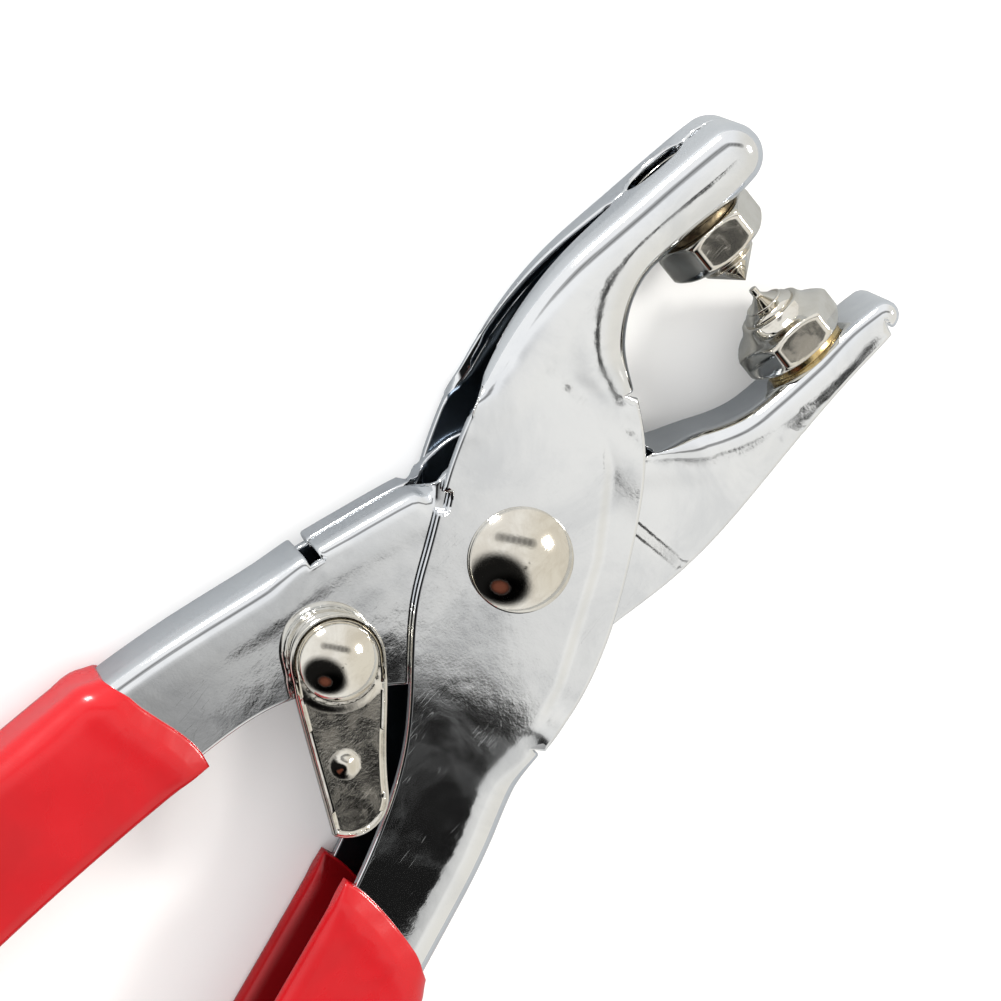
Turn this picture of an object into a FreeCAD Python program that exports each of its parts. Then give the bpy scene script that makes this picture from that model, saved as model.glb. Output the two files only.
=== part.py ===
"""Snap setter pliers: two nested pressed-steel channel halves, dipped grips,
a domed main rivet, a return spring, a latch lever and two screwed-in dies.

Frame: the pliers lie on their back. The origin is on the main pivot's axis, in the plane
that they rest on. +X points along the tool to the jaws, +Z up through the pivot and
+Y towards the inner half's handle. Units are millimetres.
"""
import FreeCAD, Part
import math
import os

from FreeCAD import Placement, Rotation, Vector

os.makedirs("parts", exist_ok=True)
doc = FreeCAD.newDocument("snap_setter_pliers")

# ---------------------------------------------------------------- driving dimensions
SIZES = {
    "gauge": 1.2,                # sheet thickness of both halves
    "outer_width": 12.4,         # outer half, across its two cheeks
    "inner_width": 9.8,          # inner half, across its two cheeks
    "edge_roll": 0.35,           # rounding that shearing leaves on free edges
    "grip_wall": 1.2,            # dipped coating outside the sheet
    "grip_lining": 0.8,          # dipped coating inside the channel
    "pivot_shank": 5.5,
    "pivot_head": 10.8,
    "pivot_head_rise": 2.7,
    "pivot_tail": 9.0,
    "pivot_tail_rise": 0.6,
    "pivot_washer": 10.0,
    "pivot_washer_gauge": 0.6,
    "sleeve_outside": 7.0,
    "running_gap": 0.05,         # radial play of what turns on a pin
    "spring_wire": 1.1,
    "spring_coil": 9.2,          # mean diameter of the return spring's coil
    "spring_pitch": 1.35,
    "latch_gauge": 1.3,
    "latch_clear": 0.5,          # lever above the outer half's cheek
    "latch_boss": 8.6,
    "latch_shank": 3.6,
    "latch_head": 8.0,
    "latch_head_rise": 2.1,
    "latch_tail_rise": 1.3,
    "latch_washer_gauge": 1.2,
    "die_lean": 10.4,            # die axis, degrees from square to the tool
    "die_seat": 9.3,             # seat of each die from the middle of the gap
    "die_washer": 9.0,
    "die_washer_gauge": 0.8,
    "nut_flats": 10.2,
    "nut_height": 3.8,
    "holder_height": 3.4,
    "die_shank": 5.0,
    "point_gap": 1.1,            # between the two points at rest
    "ring_height": 1.2,
    "cone_base": 6.0,
    "bell_height": 1.6,
    "pin_length": 1.2,
    "pin_thickness": 0.9,
    "rear_nut": 6.8,
    "rear_nut_height": 1.4,
}
GAP_MIDDLE = Vector(36.45, -2.45, 0)      # half way between the two points, on the die axis
LATCH_PIVOT = Vector(-19.2, 8.7, 0)
GRIP_START = -36.0                        # x where the dipped coating begins

sheet = doc.addObject("Spreadsheet::Sheet", "Sizes")
for row, (alias, value) in enumerate(SIZES.items(), start=1):
    sheet.set(f"A{row}", alias)
    sheet.set(f"B{row}", str(value))
    sheet.setAlias(f"B{row}", alias)
row = len(SIZES) + 1
sheet.set(f"A{row}", "mid_height")
sheet.set(f"B{row}", "=outer_width / 2 + grip_wall")
sheet.setAlias(f"B{row}", "mid_height")
doc.recompute()


def size(alias):
    """A driving dimension, read back from the sheet."""
    return float(getattr(sheet, alias))


MIDDLE = size("mid_height")


# ---------------------------------------------------------------- outline helpers
def spline(points, start_way=None, end_way=None):
    """A smooth curve through points (x, y), with a tangent at an end where one is given."""
    curve = Part.BSplineCurve()
    poles = [Vector(x, y, 0) for x, y in points]
    ways = [Vector() for _ in poles]
    given = [False for _ in poles]
    for place, way in ((0, start_way), (-1, end_way)):
        if way:
            ways[place] = Vector(*way, 0)
            given[place] = True
    curve.interpolate(Points=poles, Tangents=ways, TangentFlags=given)
    return curve


def line(start, end):
    return Part.LineSegment(Vector(*start, 0), Vector(*end, 0))


def arc(start, middle, end):
    return Part.Arc(Vector(*start, 0), Vector(*middle, 0), Vector(*end, 0))


def path(points):
    """Straight runs through points (x, y)."""
    return [line(a, b) for a, b in zip(points, points[1:])]


def moved(points, distance):
    """Points moved by distance to the left of the way they run."""
    result = []
    for number, (x, y) in enumerate(points):
        before = points[max(number - 1, 0)]
        after = points[min(number + 1, len(points) - 1)]
        run = math.hypot(after[0] - before[0], after[1] - before[1])
        result.append((x - distance * (after[1] - before[1]) / run,
                       y + distance * (after[0] - before[0]) / run))
    return result


def plate(name, curves, thickness, height="mid_height"):
    """A flat solid of an outline, thickness (an expression) centred on height."""
    sketch = doc.addObject("Sketcher::SketchObject", name + "_outline")
    sketch.addGeometry(curves, False)
    sketch.setExpression("Placement.Base.z", f"Sizes.{height}")
    body = doc.addObject("Part::Extrusion", name)
    body.Base = sketch
    body.DirMode = "Custom"
    body.Dir = Vector(0, 0, 1)
    body.Solid = True
    body.Symmetric = True
    body.setExpression("LengthFwd", thickness)
    doc.recompute()
    return body


def edges_along(body, curves):
    """Numbers of the body's top and bottom edges that follow one of the curves."""
    box = body.Shape.BoundBox
    marks = []
    for curve in curves:
        first, last = curve.FirstParameter, curve.LastParameter
        marks.append(curve.value(first + 0.5 * (last - first)))
        marks.append(curve.value(first + 0.3 * (last - first)))
        marks.append(curve.value(first + 0.7 * (last - first)))
    numbers = []
    for number, edge in enumerate(body.Shape.Edges, start=1):
        low, high = edge.BoundBox.ZMin, edge.BoundBox.ZMax
        level = high - low < 0.01 and min(abs(low - box.ZMin), abs(low - box.ZMax)) < 0.01
        if not level:
            continue
        points = [Part.Vertex(mark.x, mark.y, low) for mark in marks]
        if any(edge.distToShape(point)[0] < 0.01 for point in points):
            numbers.append(number)
    return numbers


def rolled(name, body, curves, radius):
    """The body with the long edges that follow the curves rounded."""
    fillet = doc.addObject("Part::Fillet", name)
    fillet.Base = body
    fillet.Edges = [(number, radius, radius) for number in edges_along(body, curves)]
    doc.recompute()
    return fillet


def joined(name, parts):
    fuse = doc.addObject("Part::MultiFuse", name)
    fuse.Shapes = parts
    doc.recompute()
    return fuse


def cut(name, body, tool):
    result = doc.addObject("Part::Cut", name)
    result.Base = body
    result.Tool = tool
    doc.recompute()
    return result


def cylinder(name, radius, height, place=Placement()):
    """A cylinder whose radius and height are expressions."""
    part = doc.addObject("Part::Cylinder", name)
    part.setExpression("Radius", radius)
    part.setExpression("Height", height)
    part.Placement = place
    return part


def block(name, length, width, height, centre, turn=0.0):
    """A box centred on a point and turned about Z."""
    part = doc.addObject("Part::Box", name)
    part.Length, part.Width, part.Height = length, width, height
    corner = Placement(Vector(-length / 2, -width / 2, -height / 2), Rotation())
    part.Placement = Placement(centre, Rotation(Vector(0, 0, 1), turn)) * corner
    return part


def turned(name, profile, place):
    """A solid of revolution. The profile is (radius, height) points, closed on the axis."""
    points = [(0.0, profile[0][1])] + profile + [(0.0, profile[-1][1]), (0.0, profile[0][1])]
    sketch = doc.addObject("Sketcher::SketchObject", name + "_profile")
    sketch.addGeometry(path([p for n, p in enumerate(points) if n == 0 or p != points[n - 1]]), False)
    solid = doc.addObject("Part::Revolution", name)
    solid.Source = sketch
    solid.Axis = Vector(0, 1, 0)
    solid.Base = Vector(0, 0, 0)
    solid.Angle = 360.0
    solid.Solid = True
    upright = Rotation(Vector(1, 0, 0), 90)
    solid.Placement = place * Placement(Vector(0, 0, 0), upright)
    doc.recompute()
    return solid


finished = {}


def finish(node, part):
    """Name a sub-part after its node."""
    part.Label = node
    finished[node] = part
    return part


# ---------------------------------------------------------------- outer half
LEAN = math.radians(size("die_lean"))
DIE_WAY = Vector(-math.sin(LEAN), -math.cos(LEAN), 0)       # from the upper die to the lower
SEAT_RUN = Vector(math.cos(LEAN), -math.sin(LEAN), 0)       # along both seats, to the tips
UPPER_SEAT = GAP_MIDDLE - DIE_WAY * size("die_seat")
LOWER_SEAT = GAP_MIDDLE + DIE_WAY * size("die_seat")


def on_seat(seat, along, depth=0.0):
    """A point of the seat's line, moved into the mouth by depth."""
    point = seat + SEAT_RUN * along + DIE_WAY * depth
    return (point.x, point.y)


GAUGE = size("gauge")
BACKWARD = (-SEAT_RUN.x, -SEAT_RUN.y)

OUTER_THROAT = [on_seat(UPPER_SEAT, -4.6), (29.9, 7.9), (25.2, 6.3), (21.6, 3.2), (18.2, -1.3),
                (14.1, -5.0), (8.0, -8.7), (2.4, -11.5), (-3.5, -13.7), (-10.0, -14.9)]
OUTER_SPINE = [(-10.0, -14.9), (-16.1, -15.2), (-24.0, -17.3), (GRIP_START, -20.0),
               (-52.0, -23.2), (-70.0, -25.9), (-90.0, -27.6), (-106.0, -27.2)]
OUTER_LIP = [(-106.0, -15.0), (-90.0, -15.5), (-70.0, -13.7), (-52.0, -11.0), (GRIP_START, -8.2),
             (-28.7, -6.0), (-22.0, -3.0), (-16.1, 1.2), (-9.7, 5.9), (-4.5, 8.4), (0.7, 10.9),
             (7.7, 13.5)]
OUTER_BACK = [(7.7, 13.5), (14.2, 15.2), (21.0, 15.9), (27.0, 15.6), (33.3, 14.5), (40.0, 13.3),
              (45.3, 12.2)]
OUTER_END = [(-106.0, -27.2), (-111.6, -21.0), (-106.0, -15.0)]
TIP_ARC = [(45.3, 12.2), (48.1, 8.6), on_seat(UPPER_SEAT, 6.4)]


def outer_outline():
    mouth = line(on_seat(UPPER_SEAT, 6.4), on_seat(UPPER_SEAT, -4.6))
    throat = spline(OUTER_THROAT, BACKWARD)
    spine = spline(OUTER_SPINE, (-1.0, -0.12), (-1.0, 0.15))
    end = arc(*OUTER_END)
    lip = spline(OUTER_LIP, (1.0, -0.1), (1.0, 0.32))
    back = spline(OUTER_BACK, (1.0, 0.32), (1.0, -0.2))
    tip = arc(*TIP_ARC)
    return [mouth, throat, spine, end, lip, back, tip]


NOTCH = 1.5                               # width of the reliefs where a fold stops
NOTCH_DEPTH = 1.3
outer_blank = plate("outer_blank", outer_outline(), "Sizes.outer_width")
tall = 3 * size("outer_width")
outer_reliefs = joined("outer_reliefs", [
    block("throat_relief", NOTCH, 2 * NOTCH_DEPTH, tall, Vector(20.3, 1.3, MIDDLE), 55),
    block("spine_relief", NOTCH, 2 * NOTCH_DEPTH, tall, Vector(-10.6, -15.2, MIDDLE), 5),
    block("catch_notch", 1.9, NOTCH, tall, Vector(-0.4, 10.3, MIDDLE), 28),
])
outer_nicked = cut("outer_nicked", outer_blank, outer_reliefs)


def cavity_width(width):
    """Expression for the clear width between two cheeks."""
    return f"Sizes.{width} - 2 * Sizes.gauge"


def outer_hollow():
    """The outer half's channel: closed at the mouth, the spine and the jaw's folded back."""
    mouth_in = line(on_seat(UPPER_SEAT, 5.2, -GAUGE), on_seat(UPPER_SEAT, -4.6, -GAUGE))
    throat_points = [on_seat(UPPER_SEAT, -4.6, -GAUGE)] + moved(OUTER_THROAT[:4], -GAUGE)[1:]
    throat_in = spline(throat_points, BACKWARD, (-0.6, -0.8))
    spine_points = [(-11.4, -13.8)] + moved(OUTER_SPINE[1:], -GAUGE)
    spine_in = spline(spine_points, (-1.0, -0.05), (-1.0, 0.15))
    back_points = [(8.6, 12.6)] + moved(OUTER_BACK[1:], -GAUGE)
    back_in = spline(back_points, (1.0, 0.3), (1.0, -0.2))
    tip_in = arc(back_points[-1], (46.8, 8.8), on_seat(UPPER_SEAT, 5.2, -GAUGE))
    past_hub = path([throat_points[-1], (26.0, 0.0), (24.0, -14.0), (0.0, -22.0), (-11.4, -20.0),
                     spine_points[0]])
    past_grip = path([spine_points[-1], (-118.0, -26.0), (-118.0, 0.0), (-40.0, 6.0), (-20.0, 16.0),
                      (0.0, 24.0), (8.6, 24.0), back_points[0]])
    curves = [mouth_in, throat_in] + past_hub + [spine_in] + past_grip + [back_in, tip_in]
    return plate("outer_channel", curves, cavity_width("outer_width"))


BACK_CUT_Y = 17.0                         # just behind the jaw's folded back


def back_cutter(name, curves):
    """A cutter through the jaw's folded back, drawn in (x, height above mid) on that back."""
    cutter = plate(name, curves, "Sizes.outer_width")
    cutter.Base.setExpression("Placement.Base.z", None)     # the outline now lies in its own XY
    cutter.Base.Placement = Placement()
    cutter.Placement = Placement(Vector(0, BACK_CUT_Y, MIDDLE), Rotation(Vector(1, 0, 0), 90))
    doc.recompute()
    return cutter


SLIT_START, SLIT_BEND, SLIT_END = 7.0, 10.0, 33.4      # the opening narrows along the back
SLIT_HALF_WIDTH = 0.7
hollow_half_width = size("outer_width") / 2 - GAUGE
slit_edge = [(SLIT_START, hollow_half_width), (SLIT_BEND, hollow_half_width - 0.2),
             (SLIT_END, SLIT_HALF_WIDTH)]
slit_mirror = [(x, -half) for x, half in reversed(slit_edge)]
slit = back_cutter("back_slit", path(slit_edge + slit_mirror + slit_edge[:1]))
DRIVER_HOLE_X = GAP_MIDDLE.x - DIE_WAY.x * 15.6         # on the die's axis, at the back
DRIVER_HOLE = Part.Ellipse(Vector(DRIVER_HOLE_X, 0, 0), 3.6, 2.3)
driver_hole = back_cutter("driver_hole", [DRIVER_HOLE])
seam_corners = [(43.4, -0.6), (45.0, -0.6), (45.0, 0.7), (43.4, 0.7)]
seam_hole = back_cutter("seam_hole", path(seam_corners + seam_corners[:1]))


def die_place(seat, way):
    """Local +Z into the mouth from a die's seat, a nut's flat facing up."""
    upright = Rotation(Vector(0, 0, 1), way)
    square = Placement(Vector(), Rotation(Vector(0, 0, 1), -size("die_lean")))
    return Placement(seat + Vector(0, 0, MIDDLE), upright) * square


UPPER = die_place(UPPER_SEAT, DIE_WAY)
LOWER = die_place(LOWER_SEAT, -DIE_WAY)


def up(height):
    """A move along local +Z."""
    return Placement(Vector(0, 0, height), Rotation())


def standing(point, height):
    """Upright at a point of the XY plane, height above the resting plane."""
    return Placement(Vector(point.x, point.y, height), Rotation())


ORIGIN = Vector()
outer_holes = joined("outer_holes", [
    outer_hollow(), slit, driver_hole, seam_hole,
    cylinder("outer_pivot_bore", "Sizes.pivot_shank / 2", "2 * Sizes.outer_width",
             standing(ORIGIN, MIDDLE - size("outer_width"))),
    cylinder("upper_die_bore", "Sizes.die_shank / 2", "4 * Sizes.gauge", UPPER * up(-2 * GAUGE)),
])
outer_half = finish("outer_half", cut("outer_half", outer_nicked, outer_holes))

# ---------------------------------------------------------------- inner half
NOSE = 1.6                                # radius of the lower jaw's rounded tip
nose_top = LOWER_SEAT + SEAT_RUN * 8.4
nose_centre = nose_top + DIE_WAY * NOSE
INNER_THROAT = [on_seat(LOWER_SEAT, -5.6), (26.4, -9.9), (23.6, -8.5), (20.6, -6.5), (17.6, -4.9),
                (14.6, -1.8)]
INNER_HUB = [(14.6, -1.8), (12.6, 3.5), (9.0, 8.2), (4.8, 10.9), (1.1, 11.6)]
INNER_ARM = [(1.1, 11.6), (-6.0, 14.6), (-13.9, 17.6), (-18.8, 19.3), (-26.0, 21.9),
             (GRIP_START, 24.9), (-52.0, 28.3), (-70.0, 31.0), (-90.0, 32.6), (-106.0, 32.3)]
INNER_END = [(-106.0, 32.3), (-111.6, 26.0), (-106.0, 19.9)]
INNER_LIP = [(-106.0, 19.9), (-90.0, 20.4), (-70.0, 18.6), (-52.0, 15.9), (GRIP_START, 12.7),
             (-30.5, 11.3), (-25.4, 9.0), (-21.5, 5.6), (-18.6, 2.3), (-15.6, -1.2), (-11.0, -6.8),
             (-5.0, -10.8), (1.6, -12.8)]
INNER_JAW = [(1.6, -12.8), (11.3, -15.0), (20.5, -15.5), (30.5, -15.6), (38.0, -16.0),
             (nose_centre.x, nose_centre.y - NOSE)]


def inner_outline():
    mouth = line(on_seat(LOWER_SEAT, 8.4), on_seat(LOWER_SEAT, -5.6))
    throat = spline(INNER_THROAT, BACKWARD, (-0.6, 0.8))
    hub = spline(INNER_HUB, (-0.3, 1.0), (-1.0, 0.2))
    arm = spline(INNER_ARM, (-1.0, 0.45), (-1.0, -0.1))
    end = arc(*INNER_END)
    lip = spline(INNER_LIP, (1.0, 0.1), (1.0, -0.28))
    jaw = spline(INNER_JAW, (1.0, -0.28), (1.0, 0.0))
    nose = arc(INNER_JAW[-1], (nose_centre.x + NOSE, nose_centre.y), on_seat(LOWER_SEAT, 8.4))
    return [mouth, throat, hub, arm, end, lip, jaw, nose]


INNER_NOTCH = 1.3
inner_blank = plate("inner_blank", inner_outline(), "Sizes.inner_width")
inner_reliefs = joined("inner_reliefs", [
    block("jaw_relief", INNER_NOTCH, 2 * GAUGE, tall, Vector(16.4, -3.4, MIDDLE), 45),
    block("arm_relief", INNER_NOTCH, 2 * GAUGE, tall, Vector(-12.6, 17.1, MIDDLE), -20),
])
inner_nicked = cut("inner_nicked", inner_blank, inner_reliefs)


def inner_hollow():
    """The inner half's channel: closed at the mouth, the nose and the handle's outside."""
    wall_start = (nose_centre.x + NOSE - GAUGE, nose_centre.y)
    mouth_in = line(on_seat(LOWER_SEAT, 8.4, GAUGE), on_seat(LOWER_SEAT, -5.6, GAUGE))
    throat_points = [on_seat(LOWER_SEAT, -5.6, GAUGE)] + moved(INNER_THROAT[:5], GAUGE)[1:]
    throat_in = spline(throat_points, BACKWARD, (-0.8, 0.6))
    arm_points = [(-13.6, 16.2)] + moved(INNER_ARM[3:], GAUGE)
    arm_in = spline(arm_points, (-1.0, 0.4), (-1.0, -0.1))
    past_hub = path([throat_points[-1], (17.0, 2.0), (20.0, 16.0), (0.0, 24.0), (-13.6, 26.0),
                     arm_points[0]])
    past_grip = path([arm_points[-1], (-118.0, 31.0), (-118.0, 6.0), (-60.0, 4.0), (-30.0, -2.0),
                      (-20.0, -16.0), (0.0, -22.0), (wall_start[0], -22.0), wall_start])
    nose_in = path([wall_start, on_seat(LOWER_SEAT, 8.4, GAUGE)])
    curves = [mouth_in, throat_in] + past_hub + [arm_in] + past_grip + nose_in
    return plate("inner_channel", curves, cavity_width("inner_width"))


PIVOT_PLAY = "Sizes.sleeve_outside / 2 + Sizes.running_gap"
inner_holes = joined("inner_holes", [
    inner_hollow(),
    cylinder("inner_pivot_bore", PIVOT_PLAY, "2 * Sizes.outer_width",
             standing(ORIGIN, MIDDLE - size("outer_width"))),
    cylinder("latch_bore", "Sizes.latch_shank / 2", "2 * Sizes.outer_width",
             standing(LATCH_PIVOT, MIDDLE - size("outer_width"))),
    cylinder("lower_die_bore", "Sizes.die_shank / 2", "4 * Sizes.gauge", LOWER * up(-2 * GAUGE)),
])
inner_half = finish("inner_half", cut("inner_half", inner_nicked, inner_holes))


# ---------------------------------------------------------------- dipped grips
GRIP_STOP = -108.5                        # x where the coating's inside ends
LEAD_IN = 12.0                            # how far its hollow reaches past its mouth
PAST_GRIP = 40.0                          # how far its hollow reaches past the open side


def grip(node, half, side, far, open_side, mouth_edge, width):
    """A coating on three sides of a handle's channel: outside, inside and over the lips.

    side, the folded side, and open_side run along the handle from its mouth to its end, far
    is the tip of its rounded end and mouth_edge shapes the coating's mouth between them."""
    wall, lining = size("grip_wall"), size("grip_lining")
    inward = 1 if side[0][1] > 0 else -1      # moves a point of side into the channel
    outside = moved(side, -inward * wall)
    lip_line = moved(open_side, inward * wall)
    end_curve = arc(outside[-1], far, lip_line[-1])
    start = spline([lip_line[0]] + mouth_edge + [outside[0]])
    side_curve = spline(outside)
    lip_curve = spline(lip_line)
    skin = plate(node + "_skin", [start, side_curve, end_curve, lip_curve],
                 f"Sizes.{width} + 2 * Sizes.grip_wall")
    inside = moved(side, inward * (GAUGE + lining))
    before = (inside[0][0] + LEAD_IN, inside[0][1] - 0.2 * inward)
    stop = (GRIP_STOP, inside[-1][1] - 0.4 * inward)
    floor = spline([before] + inside[:-1] + [stop])
    beyond = -inward * PAST_GRIP
    open_run = path([stop, (stop[0], stop[1] + beyond), (before[0], before[1] + beyond), before])
    hollow = plate(node + "_hollow", [floor] + open_run,
                   f"Sizes.{width} - 2 * Sizes.gauge - 2 * Sizes.grip_lining")
    bare = cut(node + "_bare", skin, hollow)
    return finish(node, cut(node, bare, half))


def along_grip(points):
    """The points of an outline's long side that the coating covers, from its mouth on."""
    covered = [p for p in points if p[0] <= GRIP_START]
    return sorted(covered, reverse=True)


grip("outer_grip", outer_half, along_grip(OUTER_SPINE), (-113.6, -21.0), along_grip(OUTER_LIP),
     [(-36.4, -11.0), (-37.9, -17.5)], "outer_width")
grip("inner_grip", inner_half, along_grip(INNER_ARM), (-113.6, 26.0), along_grip(INNER_LIP),
     [(-34.6, 16.0), (-36.2, 21.5)], "inner_width")


# ---------------------------------------------------------------- rivets
def dome(name, diameter, rise, place, rim=0.5):
    """A domed head: a short straight rim and a spherical cap."""
    radius = size(diameter) / 2
    height = size(rise)
    cap = height - rim
    ball = (radius ** 2 + cap ** 2) / (2 * cap)
    half_turn = math.asin(radius / ball) / 2
    shoulder = (ball * math.sin(half_turn), height - ball * (1 - math.cos(half_turn)))
    sketch = doc.addObject("Sketcher::SketchObject", name + "_profile")
    sketch.addGeometry([line((0, 0), (radius, 0)), line((radius, 0), (radius, rim)),
                        arc((radius, rim), shoulder, (0, height)), line((0, height), (0, 0))], False)
    solid = doc.addObject("Part::Revolution", name)
    solid.Source = sketch
    solid.Axis = Vector(0, 1, 0)
    solid.Angle = 360.0
    solid.Solid = True
    solid.Placement = place * Placement(Vector(), Rotation(Vector(1, 0, 0), 90))
    doc.recompute()
    return solid


def disc(name, diameter, height, place, chamfer=0.2):
    """A flat round head with its free edge broken."""
    radius = size(diameter) / 2
    return turned(name, [(radius, 0), (radius, size(height) - chamfer),
                         (radius - chamfer, size(height))], place)


def facing_down(point, height):
    """Local +Z down, at a point of the XY plane."""
    return Placement(Vector(point.x, point.y, height), Rotation(Vector(1, 0, 0), 180))


def ring(node, outside, bore, height, place):
    """A washer or tube, sized by expressions."""
    body = cylinder(node + "_body", outside, height, place)
    hole = cylinder(node + "_hole", bore, height, place)
    return finish(node, cut(node, body, hole))


outer_face = MIDDLE + size("outer_width") / 2
outer_rear = MIDDLE - size("outer_width") / 2
finish("pivot_rivet", joined("pivot_rivet", [
    dome("pivot_dome", "pivot_head", "pivot_head_rise", standing(ORIGIN, outer_face)),
    cylinder("pivot_shank_body", "Sizes.pivot_shank / 2",
             "Sizes.outer_width + Sizes.pivot_washer_gauge",
             standing(ORIGIN, outer_rear - size("pivot_washer_gauge"))),
    disc("pivot_tail_head", "pivot_tail", "pivot_tail_rise",
         facing_down(ORIGIN, outer_rear - size("pivot_washer_gauge"))),
]))
ring("pivot_rear_washer", "Sizes.pivot_washer / 2", "Sizes.pivot_shank / 2",
     "Sizes.pivot_washer_gauge", facing_down(ORIGIN, outer_rear))
ring("pivot_sleeve", "Sizes.sleeve_outside / 2", "Sizes.pivot_shank / 2",
     cavity_width("outer_width"), standing(ORIGIN, outer_rear + GAUGE))

inner_face = MIDDLE + size("inner_width") / 2
inner_rear = MIDDLE - size("inner_width") / 2
lever_floor = outer_face + size("latch_clear")
lever_top = lever_floor + size("latch_gauge")
latch_gap = size("running_gap")
latch_tail = inner_rear - size("latch_washer_gauge")
shank_length = lever_top + latch_gap - latch_tail
finish("latch_rivet", joined("latch_rivet", [
    dome("latch_dome", "latch_head", "latch_head_rise", standing(LATCH_PIVOT, lever_top + latch_gap)),
    cylinder("latch_shank_body", "Sizes.latch_shank / 2", f"{shank_length}",
             standing(LATCH_PIVOT, latch_tail)),
    disc("latch_tail_head", "latch_head", "latch_tail_rise", facing_down(LATCH_PIVOT, latch_tail)),
]))
ring("latch_rear_washer", "Sizes.latch_boss / 2", "Sizes.latch_shank / 2",
     "Sizes.latch_washer_gauge", facing_down(LATCH_PIVOT, inner_rear))

# ---------------------------------------------------------------- latch lever
LEVER_ROUND = 5.0
DIMPLE = Vector(-26.9, 1.3, 0)


def lever_point(angle):
    """A point of the lever's round end."""
    turn = math.radians(angle)
    return (LATCH_PIVOT.x + LEVER_ROUND * math.cos(turn), LATCH_PIVOT.y + LEVER_ROUND * math.sin(turn))


NOSE_RIGHT, NOSE_TIP, NOSE_LEFT = (-26.2, -4.0), (-30.8, -5.2), (-33.3, -2.6)
ROUND_START, ROUND_STOP = -48.0, 145.5    # degrees, where the straight sides leave the round end
round_middle = (ROUND_START + ROUND_STOP) / 2
lever_curves = [
    line(lever_point(ROUND_START), NOSE_RIGHT), arc(NOSE_RIGHT, NOSE_TIP, NOSE_LEFT),
    line(NOSE_LEFT, lever_point(ROUND_STOP)),
    arc(lever_point(ROUND_STOP), lever_point(round_middle), lever_point(ROUND_START)),
]
lever_sketch = doc.addObject("Sketcher::SketchObject", "lever_outline")
lever_sketch.addGeometry(lever_curves, False)
lever_sketch.Placement = Placement(Vector(0, 0, lever_floor), Rotation())
lever_plate = doc.addObject("Part::Extrusion", "lever_plate")
lever_plate.Base = lever_sketch
lever_plate.DirMode = "Custom"
lever_plate.Dir = Vector(0, 0, 1)
lever_plate.Solid = True
lever_plate.setExpression("LengthFwd", "Sizes.latch_gauge")
doc.recompute()
lever_rolled = rolled("lever_rolled", lever_plate, lever_curves, size("edge_roll"))
lever_body = joined("lever_body", [
    lever_rolled,
    cylinder("lever_boss", "Sizes.latch_boss / 2", f"{lever_floor - inner_face - latch_gap + 0.1}",
             standing(LATCH_PIVOT, inner_face + latch_gap)),
    dome("lever_dimple", "latch_shank", "latch_gauge", standing(DIMPLE, lever_floor + 0.3), 0.1),
])
lever_bore = cylinder("lever_bore", "Sizes.latch_shank / 2 + Sizes.running_gap", "10",
                      standing(LATCH_PIVOT, inner_face - 1))
finish("latch_lever", cut("latch_lever", lever_body, lever_bore))


# ---------------------------------------------------------------- dies
def hexagon(name, height, place):
    """A hexagonal prism, its flats the nut_flats apart."""
    prism = doc.addObject("Part::Prism", name)
    prism.Polygon = 6
    prism.setExpression("Circumradius", "Sizes.nut_flats / sqrt(3)")
    prism.setExpression("Height", height)
    prism.Placement = place
    return prism


def common(name, first, second):
    both = doc.addObject("Part::MultiCommon", name)
    both.Shapes = [first, second]
    doc.recompute()
    return both


WASHER = size("die_washer_gauge")
NUT = size("nut_height")
HOLDER = size("holder_height")
CORNER = size("nut_flats") / math.sqrt(3)
BREAK, BREAK_RISE = 0.7, 0.6              # how far the corners are turned back, and over what height
SHANK = size("die_shank") / 2
REAR = size("rear_nut_height")


def bored(node, body, place, height):
    hole = cylinder(node + "_bore", "Sizes.die_shank / 2", f"{height}", place * up(-1))
    return finish(node, cut(node, body, hole))


THROUGH = 12.0                            # longer than any nut and its shoulder


def turned_nut(name, height, place):
    """A hexagon whose corners a lathe has turned back at both ends."""
    flats = hexagon(name + "_hexagon", f"Sizes.{height}", place)
    turning = turned(name + "_turning", [
        (CORNER - BREAK, 0), (CORNER, BREAK_RISE), (CORNER, size(height) - BREAK_RISE),
        (CORNER - BREAK, size(height))], place)
    return common(name + "_body", flats, turning)


upper_nut = turned_nut("upper_nut", "nut_height", UPPER * up(WASHER))
bored("upper_die_nut", upper_nut, UPPER, THROUGH)
lower_nut = turned_nut("lower_nut", "holder_height", LOWER * up(WASHER))
bell = size("bell_height")
lower_bell = turned("lower_nut_bell", [
    (4.6, 0), (4.1, 0.35 * bell), (3.6, 0.7 * bell), (3.4, bell)], LOWER * up(WASHER + HOLDER))
bored("lower_die_nut", joined("lower_nut_blank", [lower_nut, lower_bell]), LOWER, THROUGH)

APEX = size("die_seat") - size("point_gap") / 2
RINGS = size("ring_height")
CONE = size("cone_base") / 2
nut_front = WASHER + NUT
finish("upper_die_point", turned("upper_die_point", [
    (SHANK, -GAUGE - REAR), (SHANK, nut_front), (CONE + 0.1, nut_front),
    (CONE + 0.1, nut_front + 0.3 * RINGS), (CONE - 0.4, nut_front + 0.4 * RINGS),
    (CONE - 0.4, nut_front + 0.6 * RINGS), (CONE, nut_front + 0.7 * RINGS),
    (CONE, nut_front + RINGS), (0.06, APEX)], UPPER))
PIN = size("pin_thickness") / 2
bell_front = WASHER + HOLDER + bell
pin_root = APEX - size("pin_length")
finish("lower_die_point", turned("lower_die_point", [
    (SHANK, -GAUGE - REAR), (SHANK, bell_front), (3.0, bell_front),
    (3.0, bell_front + 0.3), (2.2, bell_front + 0.6), (1.2, 0.5 * (bell_front + pin_root) + 0.3),
    (PIN, pin_root), (PIN, APEX - 0.15), (PIN - 0.15, APEX)], LOWER))

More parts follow.
